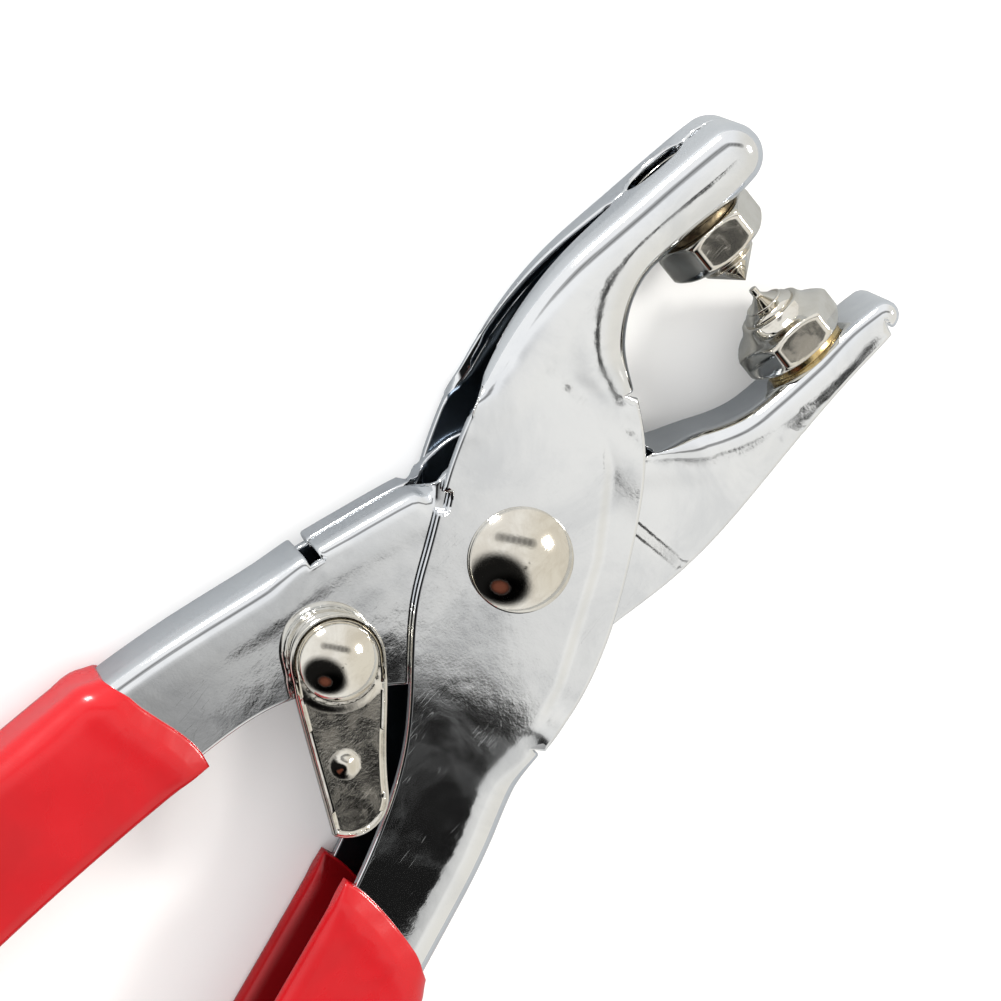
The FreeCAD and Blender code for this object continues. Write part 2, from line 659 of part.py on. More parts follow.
for node, place in (("upper", UPPER), ("lower", LOWER)):
    ring(f"{node}_die_washer", "Sizes.die_washer / 2", "Sizes.die_shank / 2",
         "Sizes.die_washer_gauge", place)
    ring(f"{node}_die_rear_nut", "Sizes.rear_nut / 2", "Sizes.die_shank / 2",
         "Sizes.rear_nut_height", place * up(-GAUGE - REAR))


# ---------------------------------------------------------------- return spring
def tangent_angle(point, radius, side):
    """Where a straight leg to the point leaves the coil, as an angle about the pivot."""
    reach = math.hypot(point.x, point.y)
    return math.atan2(point.y, point.x) + side * math.acos(radius / reach)


def return_spring():
    """A torsion spring: a coil about the sleeve and two straight legs, as one solid."""
    wire, radius, pitch = size("spring_wire"), size("spring_coil") / 2, size("spring_pitch")
    outer_foot, inner_foot = Vector(-17.5, -13.3, 0), Vector(-17.0, 16.5, 0)
    start = tangent_angle(outer_foot, radius, 1)
    stop = tangent_angle(inner_foot, radius, -1) + 4 * math.pi
    turns = (stop - start) / (2 * math.pi)
    base = MIDDLE - turns * pitch / 2
    coil_line = Part.makeHelix(pitch, turns * pitch, radius)
    coil_line.Placement = Placement(Vector(0, 0, base), Rotation(Vector(0, 0, 1), math.degrees(start)))
    first = Vector(radius * math.cos(start), radius * math.sin(start), base)
    last = Vector(radius * math.cos(stop), radius * math.sin(stop), base + turns * pitch)
    along = Vector(-math.sin(start), math.cos(start), 0)
    section = Part.Wire(Part.makeCircle(wire / 2, first, along))
    coil = Part.Wire(coil_line.Edges).makePipeShell([section], True, True)
    legs = []
    for root, foot in ((first, outer_foot), (last, inner_foot)):
        end_point = Vector(foot.x, foot.y, root.z)
        legs.append(Part.makeCylinder(wire / 2, (end_point - root).Length, root, end_point - root))
        legs.append(Part.makeSphere(wire / 2, root))
    print("return spring turns", round(turns, 2))
    return coil.multiFuse(legs)


spring = doc.addObject("Part::Feature", "return_spring")
spring.Shape = return_spring()
finish("return_spring", spring)

# ---------------------------------------------------------------- check and write
doc.recompute()
for item in doc.Objects:
    if "Invalid" in item.State or "Error" in item.State:
        raise RuntimeError(f"{item.Name} failed: {item.State}")
for node, part in finished.items():
    shape = part.Shape
    if shape.isNull() or not shape.isValid() or shape.Volume <= 0:
        raise RuntimeError(f"{node} has no valid shape")
    print(node, "solids", len(shape.Solids), "volume", round(shape.Volume, 1), "box",
          [round(v, 1) for v in (shape.BoundBox.XMin, shape.BoundBox.YMin, shape.BoundBox.ZMin,
                                 shape.BoundBox.XMax, shape.BoundBox.YMax, shape.BoundBox.ZMax)])
    shape.exportStep(f"parts/{node}.step")
print("nodes", len(finished))
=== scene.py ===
# %% [markdown]
# # Snap setter pliers
# The tool is two channels pressed from 1.2 mm sheet and plated, one nested in the other, with
# dipped grips, two domed rivets, a latch lever and a pair of small screwed-in dies. The CAD frame
# holds every size and every joint. This file gives each piece the surface that the real one has:
# rolled folds, sheared edges, plating and soft dipped plastic. It works in millimetres and turns
# a mesh into metres only when the mesh is finished.

import math

import bmesh
import bpy
import numpy as np
from mathutils import Matrix, Vector
from mathutils.geometry import delaunay_2d_cdt


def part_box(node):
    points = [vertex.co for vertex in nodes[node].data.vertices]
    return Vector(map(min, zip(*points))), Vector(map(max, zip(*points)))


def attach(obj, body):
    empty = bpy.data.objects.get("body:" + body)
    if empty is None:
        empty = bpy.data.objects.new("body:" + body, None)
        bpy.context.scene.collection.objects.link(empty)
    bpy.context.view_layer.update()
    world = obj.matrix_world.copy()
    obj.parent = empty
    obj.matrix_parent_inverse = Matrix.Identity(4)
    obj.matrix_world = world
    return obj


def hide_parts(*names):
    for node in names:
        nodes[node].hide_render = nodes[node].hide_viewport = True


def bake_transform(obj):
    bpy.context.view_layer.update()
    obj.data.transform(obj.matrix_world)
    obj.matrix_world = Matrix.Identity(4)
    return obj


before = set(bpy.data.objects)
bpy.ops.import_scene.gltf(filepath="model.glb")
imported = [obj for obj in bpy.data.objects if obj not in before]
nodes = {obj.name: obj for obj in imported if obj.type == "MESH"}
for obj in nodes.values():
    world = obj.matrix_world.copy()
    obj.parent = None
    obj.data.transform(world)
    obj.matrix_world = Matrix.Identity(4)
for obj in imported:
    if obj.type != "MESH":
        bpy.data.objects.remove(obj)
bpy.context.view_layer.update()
MM = 0.001

# %% [markdown]
# ## The studio
# A small bright part is lit in a tent of white cloth, so that its plating has something
# pale to mirror, with a few dark things left in the room to draw its shape. Here the world shader
# is that room: white all round, a warm side, and soft dark discs. A disc is placed by saying
# where on the tool its mirror image should fall, and how far the facet leans there, so its
# direction is worked out from the camera.

# %% Camera
TARGET = Vector((3.37, 5.48, 13.2)) * MM      # the middle of the view, on the tool's face
TILT = math.radians(18)                       # the face leans back by this about the tool's length
ROLL = math.atan2(0.776, 0.63)                # the tool's length, up from level in the view
VIEW_WIDTH = 100.1 * MM
DISTANCE = 0.4
SENSOR = 36.0

toward = Vector((0, math.sin(TILT), math.cos(TILT)))
across = Vector((0, math.cos(TILT), -math.sin(TILT)))
along = Vector((1, 0, 0))
right = along * math.cos(ROLL) - across * math.sin(ROLL)
upward = along * math.sin(ROLL) + across * math.cos(ROLL)
camera = bpy.data.objects.new("camera", bpy.data.cameras.new("camera"))
camera.data.sensor_width = SENSOR
camera.data.lens = SENSOR * DISTANCE / VIEW_WIDTH
camera.data.clip_start = 0.01
camera.matrix_world = Matrix((
    (right.x, upward.x, toward.x, 0), (right.y, upward.y, toward.y, 0),
    (right.z, upward.z, toward.z, 0), (0, 0, 0, 1)))
camera.location = TARGET + toward * DISTANCE
bpy.context.scene.collection.objects.link(camera)
bpy.context.scene.camera = camera
bpy.context.scene.view_settings.view_transform = "Standard"
print("lens:", round(camera.data.lens, 1), "mm at", DISTANCE, "m")


# %% Small helpers for node trees
def add(tree, kind, at=None, **settings):
    """A node, with its properties or numbered inputs set."""
    node = tree.nodes.new(kind)
    for key, value in settings.items():
        setattr(node, key, value)
    for socket, value in (at or {}).items():
        if isinstance(value, bpy.types.NodeSocket):
            tree.links.new(value, node.inputs[socket])
        else:
            node.inputs[socket].default_value = value
    return node


def maths(tree, operation, first, second=0.0):
    return add(tree, "ShaderNodeMath", {0: first, 1: second}, operation=operation).outputs[0]


def mixed(tree, share, first, second):
    """A colour between two colours."""
    node = add(tree, "ShaderNodeMix", {0: share, 6: first, 7: second}, data_type="RGBA")
    return node.outputs[2]


def ranged(tree, value, low, high, to_low, to_high):
    """A value carried from one range to another along a smooth step."""
    node = add(tree, "ShaderNodeMapRange", {0: value, 1: low, 2: high, 3: to_low, 4: to_high},
               interpolation_type="SMOOTHSTEP")
    return node.outputs[0]


# %% The room that the plating mirrors
FACE_AT, NUT_AT, DOME_AT = 13.6, 12.5, 16.0     # mm up: the flat face, the nuts' flats, the domes


def mirrored(x, y, height=FACE_AT, lean=Vector((0, 0, 1))):
    """Where the camera's ray goes after it meets a facet at a point of the tool, in mm."""
    ray = (Vector((x, y, height)) * MM - camera.location).normalized()
    facing = lean.normalized()
    return (ray - 2 * ray.dot(facing) * facing).normalized()


def leaning(left, down):
    """A facet turned from the tool's face towards the view's left and its lower edge, degrees."""
    sideways, downwards = math.tan(math.radians(left)), math.tan(math.radians(down))
    return Vector((0, 0, 1)) - right * sideways - upward * downwards


def on_dome(left, down):
    """Where the camera's ray goes after it meets a dome's facet that leans this way."""
    return mirrored(0, 0, DOME_AT, leaning(left, down))


DARK_DISCS = [          # direction, radius, softness in degrees, brightness left
    (mirrored(-27.0, -5.8), 2.3, 0.30, 0.02),                   # the big patch on the lower face
    (mirrored(37.5, 4.4, NUT_AT), 0.85, 0.2, 0.03),             # the upper nut's flat
    (mirrored(34.1, -8.2, NUT_AT), 0.80, 0.2, 0.04),            # the lower nut's flat
    (on_dome(21, 12), 34.0, 16.0, 0.01),                        # the lower left of every dome
    (on_dome(14, 22), 16.0, 20.0, 0.05),
    *[(on_dome(left, -17 - left / 6), 2.5, 7.0, 0.45)             # a streak over it
      for left in (-4, 0, 4, 8, 12, 16, 20)],
]
BROWN_SPOT = (on_dome(20, 18), 2.0, 12.0)
BROWN = (0.17, 0.06, 0.04, 1)
WARM_SIDE = (0.86, 0.83, 0.76, 1)
ROOM_WHITE = (1.0, 1.0, 1.0, 1)
ROOM_LIGHT = 0.98             # what the plating sees
PAPER_LIGHT = 1.5             # what the floor and the plastic get

world = bpy.data.worlds.new("white_tent")
bpy.context.scene.world = world
world.use_nodes = True
room = world.node_tree
room.nodes.clear()
way = add(room, "ShaderNodeTexCoord").outputs["Generated"]


def facing_share(direction):
    """How nearly the looked-at direction is this one: the cosine of the angle between them."""
    dot = add(room, "ShaderNodeVectorMath", {0: way, 1: direction}, operation="DOT_PRODUCT")
    return dot.outputs["Value"]


def disc(direction, radius, soft, outside, within):
    """A value that changes across the soft edge of a disc of the room."""
    return ranged(room, facing_share(direction), math.cos(math.radians(radius + soft)),
                  math.cos(math.radians(radius)), outside, within)


warm = ranged(room, facing_share(right), 0.1, 0.9, 0.0, 1.0)
brightness = ROOM_LIGHT
for direction, radius, soft, left_over in DARK_DISCS:
    brightness = maths(room, "MULTIPLY", brightness, disc(direction, radius, soft, 1.0, left_over))
brown = disc(*BROWN_SPOT, 0.0, 1.0)
brightness = maths(room, "MAXIMUM", brightness, brown)
for_paper = add(room, "ShaderNodeLightPath").outputs["Is Diffuse Ray"]      # what mirrors nothing
brightness = add(room, "ShaderNodeMix", {0: for_paper, 2: brightness, 3: PAPER_LIGHT}).outputs[0]
tint = mixed(room, warm, ROOM_WHITE, WARM_SIDE)
tint = mixed(room, ranged(room, brown, 0.0, 0.2, 0.0, 1.0), tint, BROWN)
background = add(room, "ShaderNodeBackground", {"Color": tint, "Strength": brightness})
room.links.new(background.outputs[0], add(room, "ShaderNodeOutputWorld").inputs[0])
print("room:", len(DARK_DISCS), "dark discs")

# %% Floor and lamps
FLOOR_HALF = 3.0
PAPER_WHITE = (0.93, 0.93, 0.93, 1)
PAPER_PAINTED_DARK_IN_REFLECTION = (0.33, 0.345, 0.36, 1)      # the floor as the plating mirrors it, painted dark grey: a painted reflection of shade


def lamp(name, place, size, power, colour=(1, 1, 1)):
    """A soft square lamp that looks at the middle of the view."""
    light = bpy.data.lights.new(name, "AREA")
    light.size, light.energy, light.color = size, power, colour
    holder = bpy.data.objects.new(name, light)
    holder.location = place
    holder.rotation_euler = (TARGET - Vector(place)).to_track_quat("-Z", "Y").to_euler()
    bpy.context.scene.collection.objects.link(holder)
    return holder


floor_mesh = bpy.data.meshes.new("floor")
corners = [(-FLOOR_HALF, -FLOOR_HALF, 0), (FLOOR_HALF, -FLOOR_HALF, 0),
           (FLOOR_HALF, FLOOR_HALF, 0), (-FLOOR_HALF, FLOOR_HALF, 0)]
floor_mesh.from_pydata(corners, [], [(0, 1, 2, 3)])
floor = bpy.data.objects.new("floor", floor_mesh)
bpy.context.scene.collection.objects.link(floor)
paper = bpy.data.materials.new("paper")
paper.use_nodes = True
paper_shader = paper.node_tree.nodes["Principled BSDF"]
# Painted reflection: where the plating mirrors the floor, the floor is painted dark grey, as painted shade
# under the tool; seen straight on it stays white.
in_plating = add(paper.node_tree, "ShaderNodeLightPath").outputs["Is Glossy Ray"]
paper.node_tree.links.new(mixed(paper.node_tree, in_plating, PAPER_WHITE, PAPER_PAINTED_DARK_IN_REFLECTION),
                          paper_shader.inputs["Base Color"])
paper_shader.inputs["Roughness"].default_value = 0.9
paper_shader.inputs["Specular IOR Level"].default_value = 0.1
floor_mesh.materials.append(paper)
lamp("window", upward * 0.5 + toward * 0.35 - right * 0.25, 0.16, 3.4)
lamp("strip", right * 0.55 + toward * 0.3 + upward * 0.1, 0.12, 2.0, (1.0, 0.97, 0.92))
print("lamps: 2")

# %% [markdown]
# ## Reading the pressed outlines
# The tool room cuts each half's blank to an outline, and the frame already has that outline: it is
# the edge of the node's flat upper face. Reading it there keeps one source for the shape, where
# a copied list of points could drift from it. The edge is found as the sides that only one of
# the flat faces has, and it is then divided again into even steps, with its true corners kept.

# %% Outlines from the frame
CORNER_TURN = math.radians(35)
STEP = 0.6                    # mm between the points of an outline
SHORTEST_SIDE = 0.02          # mm; two points nearer than this are one
LEVEL_WITHIN = 2e-6           # m, how flat a flat face lies


def flat_loops(node, height=None):
    """Closed loops of points in mm round the faces that look up at a height, longest first."""
    work = bmesh.new()
    work.from_mesh(nodes[node].data)
    bmesh.ops.remove_doubles(work, verts=work.verts, dist=1e-6)
    level = max(v.co.z for v in work.verts) if height is None else height * MM
    flat = {f for f in work.faces
            if f.normal.z > 0.999 and all(abs(v.co.z - level) < LEVEL_WITHIN for v in f.verts)}
    following = {}
    for face in flat:
        for loop in face.loops:
            if not any(other in flat for other in loop.edge.link_faces if other is not face):
                following[loop.vert] = loop.link_loop_next.vert
    loops = []
    while following:
        vert, points = next(iter(following)), []
        while vert in following:
            points.append((vert.co.x / MM, vert.co.y / MM))
            vert = following.pop(vert)
        loops.append(np.array(points))
    work.free()
    return sorted(loops, key=lambda points: -np.linalg.norm(np.diff(points, axis=0), axis=1).sum())


def turns(points):
    """The angle that a closed loop turns at each point."""
    before, after = points - np.roll(points, 1, 0), np.roll(points, -1, 0) - points
    cross = before[:, 0] * after[:, 1] - before[:, 1] * after[:, 0]
    return np.arctan2(cross, (before * after).sum(1))


def smooth_run(points, step):
    """Points evenly spaced along one smooth curve through these, ends included."""
    gaps = np.linalg.norm(np.diff(points, axis=0), axis=1)
    place = np.concatenate([[0], np.cumsum(gaps)])
    slope = np.gradient(points, place, axis=0) if len(points) > 2 else \
        np.repeat((points[1:] - points[:1]) / gaps[0], 2, 0)
    count = max(1, round(place[-1] / step))
    wanted = np.linspace(0, place[-1], count + 1)
    left = np.clip(np.searchsorted(place, wanted, "right") - 1, 0, len(gaps) - 1)
    width = gaps[left][:, None]
    t = (wanted - place[left])[:, None] / width
    return ((2 * t ** 3 - 3 * t ** 2 + 1) * points[left] + (t ** 3 - 2 * t ** 2 + t) * width * slope[left]
            + (3 * t ** 2 - 2 * t ** 3) * points[left + 1] + (t ** 3 - t ** 2) * width * slope[left + 1])


def resampled(loop, step=STEP):
    """A closed loop in even steps, and the numbers of its true corners."""
    gaps = np.linalg.norm(loop - np.roll(loop, 1, 0), axis=1)
    loop = loop[gaps > SHORTEST_SIDE]
    corners = np.flatnonzero(np.abs(turns(loop)) > CORNER_TURN)
    if len(corners) == 0:
        corners = np.array([0])
    points, places = [], []
    for first, last in zip(corners, np.append(corners[1:], corners[0] + len(loop))):
        run = loop[np.arange(first, last + 1) % len(loop)]
        places.append(len(points))
        points.extend(smooth_run(run, step)[:-1])
    return np.array(points), places


def nearest(points, place):
    return int(np.argmin(np.linalg.norm(points - np.array(place), axis=1)))


for half in ("outer_half", "inner_half"):
    print(half, [len(loop) for loop in flat_loops(half)], "points in its loops")

# %% [markdown]
# ## Pressing a sheet
# A press first cuts the blank and then folds its edges over. The mesh is made the same way, as
# the outer skin of the metal: two flat cheeks, filled with evenly spread points, and rolled
# folds between them. Then the skin gets its thickness along its own normals, and a rounded rim
# wherever the metal was sheared. A boolean of boxes would be quicker, but it gives knife edges,
# and plating shows every one of them. Solidify and Bevel modifiers could do the last step; here
# it is done in code, because the rim's rounding changes along the edge.

# %% Folds
ARC_ROWS, RUN_ROWS = 7, 6     # rows of faces round a fold's bend and down its wall
LANDING = 5.0                 # mm over which a fold's end settles against a notch or a mouth
LEAST_DEPTH = 0.05            # mm; a wall is never shallower


def eased(value):
    value = np.clip(value, 0.0, 1.0)
    return value * value * (3 - 2 * value)


def fold_rows(radius, angle, run):
    """How far in from the outline, and how far down from the cheek, each row of a fold lies."""
    reach = radius * np.sin(angle) + run * np.cos(angle)
    bend = angle * np.linspace(0, 1, ARC_ROWS + 1)
    straight = run * np.linspace(0, 1, RUN_ROWS + 1)[1:]
    inset = np.concatenate([reach - radius * np.sin(bend),
                            reach - radius * np.sin(angle) - straight * np.cos(angle)])
    drop = np.concatenate([radius * (1 - np.cos(bend)),
                           radius * (1 - np.cos(angle)) + straight * np.sin(angle)])
    return inset, drop


def fold(start, stop, radius, opening=None, forming=(0.0, 0.0), end_radius=1.2):
    """A fold from one point of the outline to another, going left-handed round the metal.

    opening gives the half-width left open between the two flanges, or None where they are one
    wall. forming is how long each end takes to rise out of the flat; 0 means that a relief notch
    ends it, where its bend has shrunk to end_radius."""
    return dict(start=start, stop=stop, radius=radius, opening=opening, forming=forming,
                end_radius=end_radius)


def fold_columns(outline, corners, spec, half_width):
    """The columns of rows of one fold, as (number, inward way, inset, drop), and the outline's
    points that its ends pass over: along a relief notch's side, or along a grip's mouth."""
    count = len(outline)
    first, last = nearest(outline, spec["start"]), nearest(outline, spec["stop"])
    numbers = np.arange(first, last + 1 if last > first else last + 1 + count)
    points = outline[numbers % count]
    gaps = np.linalg.norm(np.diff(points, axis=0), axis=1)
    place = np.concatenate([[0], np.cumsum(gaps)])
    tangent = np.gradient(points, place, axis=0)
    inward = np.stack([-tangent[:, 1], tangent[:, 0]], 1) / np.linalg.norm(tangent, axis=1)[:, None]
    grown, shrunk = np.ones(len(points)), np.ones(len(points))
    for reach, distance in zip(spec["forming"], (place, place[-1] - place)):
        if reach:
            grown *= eased(distance / reach)
        else:
            shrunk *= eased(distance / LANDING)
    columns = []
    for n, number in enumerate(numbers % count):
        full = spec["radius"](*points[n]) if callable(spec["radius"]) else spec["radius"]
        radius = spec["end_radius"] + (full - spec["end_radius"]) * shrunk[n]
        half_open = spec["opening"](*points[n]) if spec["opening"] else 0.0
        angle = grown[n] * math.pi / 2
        depth = max(half_width - half_open, LEAST_DEPTH)
        radius = min(radius, depth)
        run = max(0.0, grown[n] * (radius * math.pi / 2 + depth - radius) - radius * angle)
        inset, drop = fold_rows(radius, angle, run)
        columns.append([number, inward[n], inset, drop])
    passed = []
    for end, step in ((0, -1), (-1, 1)):
        number, inset = columns[end][0], columns[end][2][0]
        if spec["forming"][end] or number not in corners:
            continue
        inner = (number + step) % count
        while np.linalg.norm(outline[inner] - outline[number]) < inset - 0.1:
            passed.append(inner)
            inner = (inner + step) % count
        passed.append(inner)
        landing = (outline[inner] - outline[number]) / inset
        reach = place if end == 0 else place[-1] - place
        for column, distance in zip(columns, reach):
            share = 1 - eased(distance / LANDING)
            column[1] = column[1] * (1 - share) + landing * share
    return columns, passed


print("a fold has", ARC_ROWS + RUN_ROWS, "rows each side")


# %% Cheeks
FINEST = 0.35                 # mm between the points of a cheek where they lie closest
ROW_RATIO = 0.866             # rows of even triangles, for each mm between their points
RING_GAP, FIELD_GAP = 0.42, 0.75      # mm from the first ring to the second, and to the field


def inside(points, loop):
    """Which points lie inside a closed loop."""
    x, y = points[:, 0][:, None], points[:, 1][:, None]
    ax, ay = loop[:, 0][None], loop[:, 1][None]
    bx, by = np.roll(loop, -1, 0)[:, 0][None], np.roll(loop, -1, 0)[:, 1][None]
    spans = (ay > y) != (by > y)
    with np.errstate(divide="ignore", invalid="ignore"):
        meets = x < ax + (y - ay) * (bx - ax) / (by - ay)
    return (np.sum(spans & meets, axis=1) % 2) == 1


def distance_to(points, line, closed=False):
    """The distance of each point from a line of points."""
    ends = np.roll(line, -1, 0) if closed else line[1:]
    starts = line if closed else line[:-1]
    best = np.full(len(points), np.inf)
    for a, b in zip(starts, ends):
        run = b - a
        share = np.clip(((points - a) @ run) / max(run @ run, 1e-12), 0, 1)
        best = np.minimum(best, np.linalg.norm(points - a - share[:, None] * run, axis=1))
    return best


def inset_ring(line, distance):
    """Points at one distance inside a closed line, where there is room for them."""
    tangent = np.roll(line, -1, 0) - np.roll(line, 1, 0)
    inward = np.stack([-tangent[:, 1], tangent[:, 0]], 1)
    inward /= np.maximum(np.linalg.norm(inward, axis=1), 1e-9)[:, None]
    ring = line + inward * distance
    return ring[distance_to(ring, line, True) > distance * 0.93]


def filled(edge, holes, spacing, margin=0.4):
    """Triangles of a flat region: (points, faces), its own edge points first.

    spacing(points) is the distance wanted between the points at each place. Two even rings of
    points follow the edge, the first one a margin inside it, so that the shading there is even."""
    low, high = edge.min(0), edge.max(0)
    across, up = np.meshgrid(np.arange(low[0], high[0], FINEST),
                             np.arange(low[1], high[1], FINEST * ROW_RATIO))
    across[1::2] += FINEST / 2
    grid = np.stack([across.ravel(), up.ravel()], 1)
    rows, columns = np.indices(up.shape)
    level = np.round(np.log2(np.clip(spacing(grid) / FINEST, 1, 16))).astype(int)
    stride = 2 ** level
    keep = (rows.ravel() % stride == 0) & (columns.ravel() % stride == 0)
    grid, level = grid[keep], level[keep]
    grid = grid[inside(grid, edge)]
    for hole in holes:
        grid = grid[~inside(grid, hole)]
    rim = [edge, *holes]
    clear = np.minimum.reduce([distance_to(grid, line, True) for line in rim])
    grid = grid[clear > margin + FIELD_GAP]
    rings = np.concatenate([inset_ring(edge, margin), inset_ring(edge, margin + RING_GAP)])
    if holes:
        rings = rings[np.minimum.reduce([distance_to(rings, line, True) for line in holes]) > margin]
    grid = np.concatenate([rings, grid])
    sides, base = [], 0
    for line in rim:
        sides += [(base + n, base + (n + 1) % len(line)) for n in range(len(line))]
        base += len(line)
    points = np.concatenate([*rim, grid])
    made = delaunay_2d_cdt([Vector(p) for p in points], sides, [], 0, 1e-7, False)
    placed = np.array([tuple(v) for v in made[0]])
    faces = np.array(made[2])
    middle = placed[faces].mean(1)
    good = inside(middle, edge)
    for hole in holes:
        good &= ~inside(middle, hole)
    return placed, faces[good]


# %% Skin, thickness and rim
RIM_STEPS = 3


def built(points, faces, inner=()):
    """A bmesh of points and faces, each face once. inner holds the numbers of the points on a
    wall's inner side: they go into the attribute "inside"."""
    work = bmesh.new()
    share = work.verts.layers.float.new("inside")
    made = [work.verts.new(p) for p in points]
    for number in inner:
        made[number][share] = 1.0
    for face in faces:
        try:
            work.faces.new([made[n] for n in face])
        except ValueError:
            continue
    return work


def welded(points, faces, within=0.004):
    """A bmesh of points in mm, with those that meet joined."""
    work = built(points, faces)
    bmesh.ops.remove_doubles(work, verts=work.verts, dist=within)
    bmesh.ops.dissolve_degenerate(work, dist=within / 2, edges=work.edges)
    loose = [v for v in work.verts if not v.link_faces]
    bmesh.ops.delete(work, geom=loose, context="VERTS")
    return work


def area_normals(points, faces):
    """Each point's normal, weighted by the area of the faces round it."""
    normals = np.zeros_like(points)
    for size in {len(face) for face in faces}:
        group = np.array([face for face in faces if len(face) == size])
        a, b, c = points[group[:, 0]], points[group[:, 1]], points[group[:, 2]]
        cross = np.cross(b - a, c - a)
        if size == 4:
            cross = cross + np.cross(c - a, points[group[:, 3]] - a)
        for column in range(size):
            np.add.at(normals, group[:, column], cross)
    return normals / np.maximum(np.linalg.norm(normals, axis=1), 1e-12)[:, None]


def border_loops(faces):
    """Closed loops of point numbers round the open edges, with the faces on their left."""
    sides = {(face[n - 1], face[n]) for face in faces for n in range(len(face))}
    following = {a: b for a, b in sides if (b, a) not in sides}
    loops = []
    while following:
        start = next(iter(following))
        loop, point = [], start
        while point in following:
            loop.append(point)
            point = following.pop(point)
        loops.append(np.array(loop))
    return loops


def thickened(skin, gauge, rim, sink=None):
    """A closed mesh (points, faces, inner points) from an open skin.

    gauge(points) is how thick it becomes, rim(points) rounds its open edges, and sink(points)
    lowers the outer surface alone."""
    skin.verts.index_update()
    points = np.array([v.co for v in skin.verts])
    faces = [tuple(v.index for v in f.verts) for f in skin.faces]
    normals = area_normals(points, faces)
    thick, round_off = gauge(points)[:, None], rim(points)[:, None]
    inner = points - normals * thick
    if sink:
        lowered = sink(points)[:, None]
        points = points - normals * lowered
        thick = thick - lowered
    rings, ring_faces = [], []
    base = 2 * len(points)
    for loop in border_loops(faces):
        place, facing = points[loop], normals[loop]
        before, after = place - np.roll(place, 1, 0), np.roll(place, -1, 0) - place
        before /= np.maximum(np.linalg.norm(before, axis=1), 1e-9)[:, None]
        after /= np.maximum(np.linalg.norm(after, axis=1), 1e-9)[:, None]
        out = np.cross(before, facing) + np.cross(after, facing)
        out /= np.maximum(np.linalg.norm(out, axis=1), 1e-9)[:, None]
        share = np.clip((out * np.cross(after, facing)).sum(1), 0.6, 1.0)[:, None]
        out = out / share
        radius, deep = round_off[loop], thick[loop]
        turn = [math.pi / 2 * n / RIM_STEPS for n in range(1, RIM_STEPS + 1)]
        layers = [place - out * radius * (1 - math.sin(a)) - facing * radius * (1 - math.cos(a))
                  for a in turn]
        layers += [place - out * radius * (1 - math.sin(a)) - facing * (deep - radius * (1 - math.cos(a)))
                   for a in reversed(turn)]
        points[loop] = place - out * radius
        inner[loop] = points[loop] - facing * deep
        rows = [loop] + [base + n * len(loop) + np.arange(len(loop)) for n in range(len(layers))]
        rows.append(loop + len(points))
        rings += layers
        base += len(layers) * len(loop)
        for upper, lower in zip(rows, rows[1:]):
            for n in range(len(loop)):
                after_n = (n + 1) % len(loop)
                ring_faces.append((upper[after_n], upper[n], lower[n], lower[after_n]))
    size = len(points)
    back = [tuple(n + size for n in reversed(face)) for face in faces]
    return np.concatenate([points, inner, *rings]), faces + back + ring_faces, range(size, 2 * size)


def finished(name, points, faces, inner=()):
    """The object of a mesh given in mm, smooth-shaded by area-weighted normals.

    inner holds the numbers of the points on a wall's inner side. The finishes read them: the
    plating is rougher there, and both plating and plastic are painted darker there as painted shade."""
    work = built(points, faces, inner)
    bmesh.ops.remove_doubles(work, verts=work.verts, dist=0.002)
    bmesh.ops.recalc_face_normals(work, faces=work.faces)
    for vert in work.verts:
        vert.co *= MM
    mesh = bpy.data.meshes.new(name)
    work.to_mesh(mesh)
    open_edges = sum(1 for e in work.edges if len(e.link_faces) != 2)
    work.free()
    mesh.polygons.foreach_set("use_smooth", [True] * len(mesh.polygons))
    obj = bpy.data.objects.new(name, mesh)
    bpy.context.scene.collection.objects.link(obj)
    sharpen = obj.modifiers.new("area_weighted_normals", "WEIGHTED_NORMAL")
    sharpen.weight = 100
    sharpen.keep_sharp = False
    print(name, "faces", len(mesh.polygons), "edges not shared by two faces", open_edges)
    return obj


def flat_gauge(value):
    return lambda points: np.full(len(points), value)


FORM_FADE = 4.0               # mm beside a fold over which the cheek's relief dies away
CROWN_DROP, CROWN_IN, CROWN_OUT = 0.16, 2.2, 2.5


def crown(inset):
    """How far a cheek has dropped at a distance inside a fold's first line, since a press never
    leaves a flat that stops at a line. Past the line the distance is negative."""
    return CROWN_DROP * (1 - eased((inset + CROWN_OUT) / (CROWN_IN + CROWN_OUT)))


HEALED = {   # stretches of an outline that are drawn straight: from one corner to another
    "outer_half": [((19.76, 0.76), (20.64, 1.98)), ((-11.37, -15.01), (-9.87, -14.88))],
}
ROUND_FROM, ROUND_OVER, ROUND_PASSES = -98.0, 8.0, 90     # x and mm along a grip; smoothing passes
MOUTH_CLEAR = 0.15            # mm that the outline starts behind its mouth line's ends
MOUTHS = {   # where each dip ended: the frame's two corners, then the line between them
    "outer_grip": ((-35.76, -21.18), (-36.21, -7.02),
                   [(-39.3, -21.9), (-38.6, -20.2), (-37.7, -17.6), (-36.9, -14.6), (-36.3, -11.6),
                    (-36.05, -8.9), (-36.25, -7.1)]),
    "inner_grip": ((-36.24, 11.52), (-35.75, 26.07),
                   [(-35.5, 11.36), (-34.8, 13.2), (-34.62, 15.6), (-34.8, 18.4), (-34.95, 20.9),
                    (-34.8, 23.4), (-35.1, 25.9)]),
}


def without(loop, first, last):
    """A loop's points in order from just past a stretch round to just before it."""
    a, b = nearest(loop, first), nearest(loop, last)
    return np.roll(loop, -(b + 1), axis=0)[:len(loop) - (b - a) % len(loop) - 1]


def rounded_end(loop):
    """A grip's outline with its far end drawn out round, as a drop leaves it; its mouth stays."""
    share = eased((ROUND_FROM - loop[:, 0]) / ROUND_OVER)[:, None]
    soft = loop.copy()
    for _ in range(ROUND_PASSES):
        soft += 0.5 * share * ((np.roll(soft, 1, 0) + np.roll(soft, -1, 0)) / 2 - soft)
    return soft


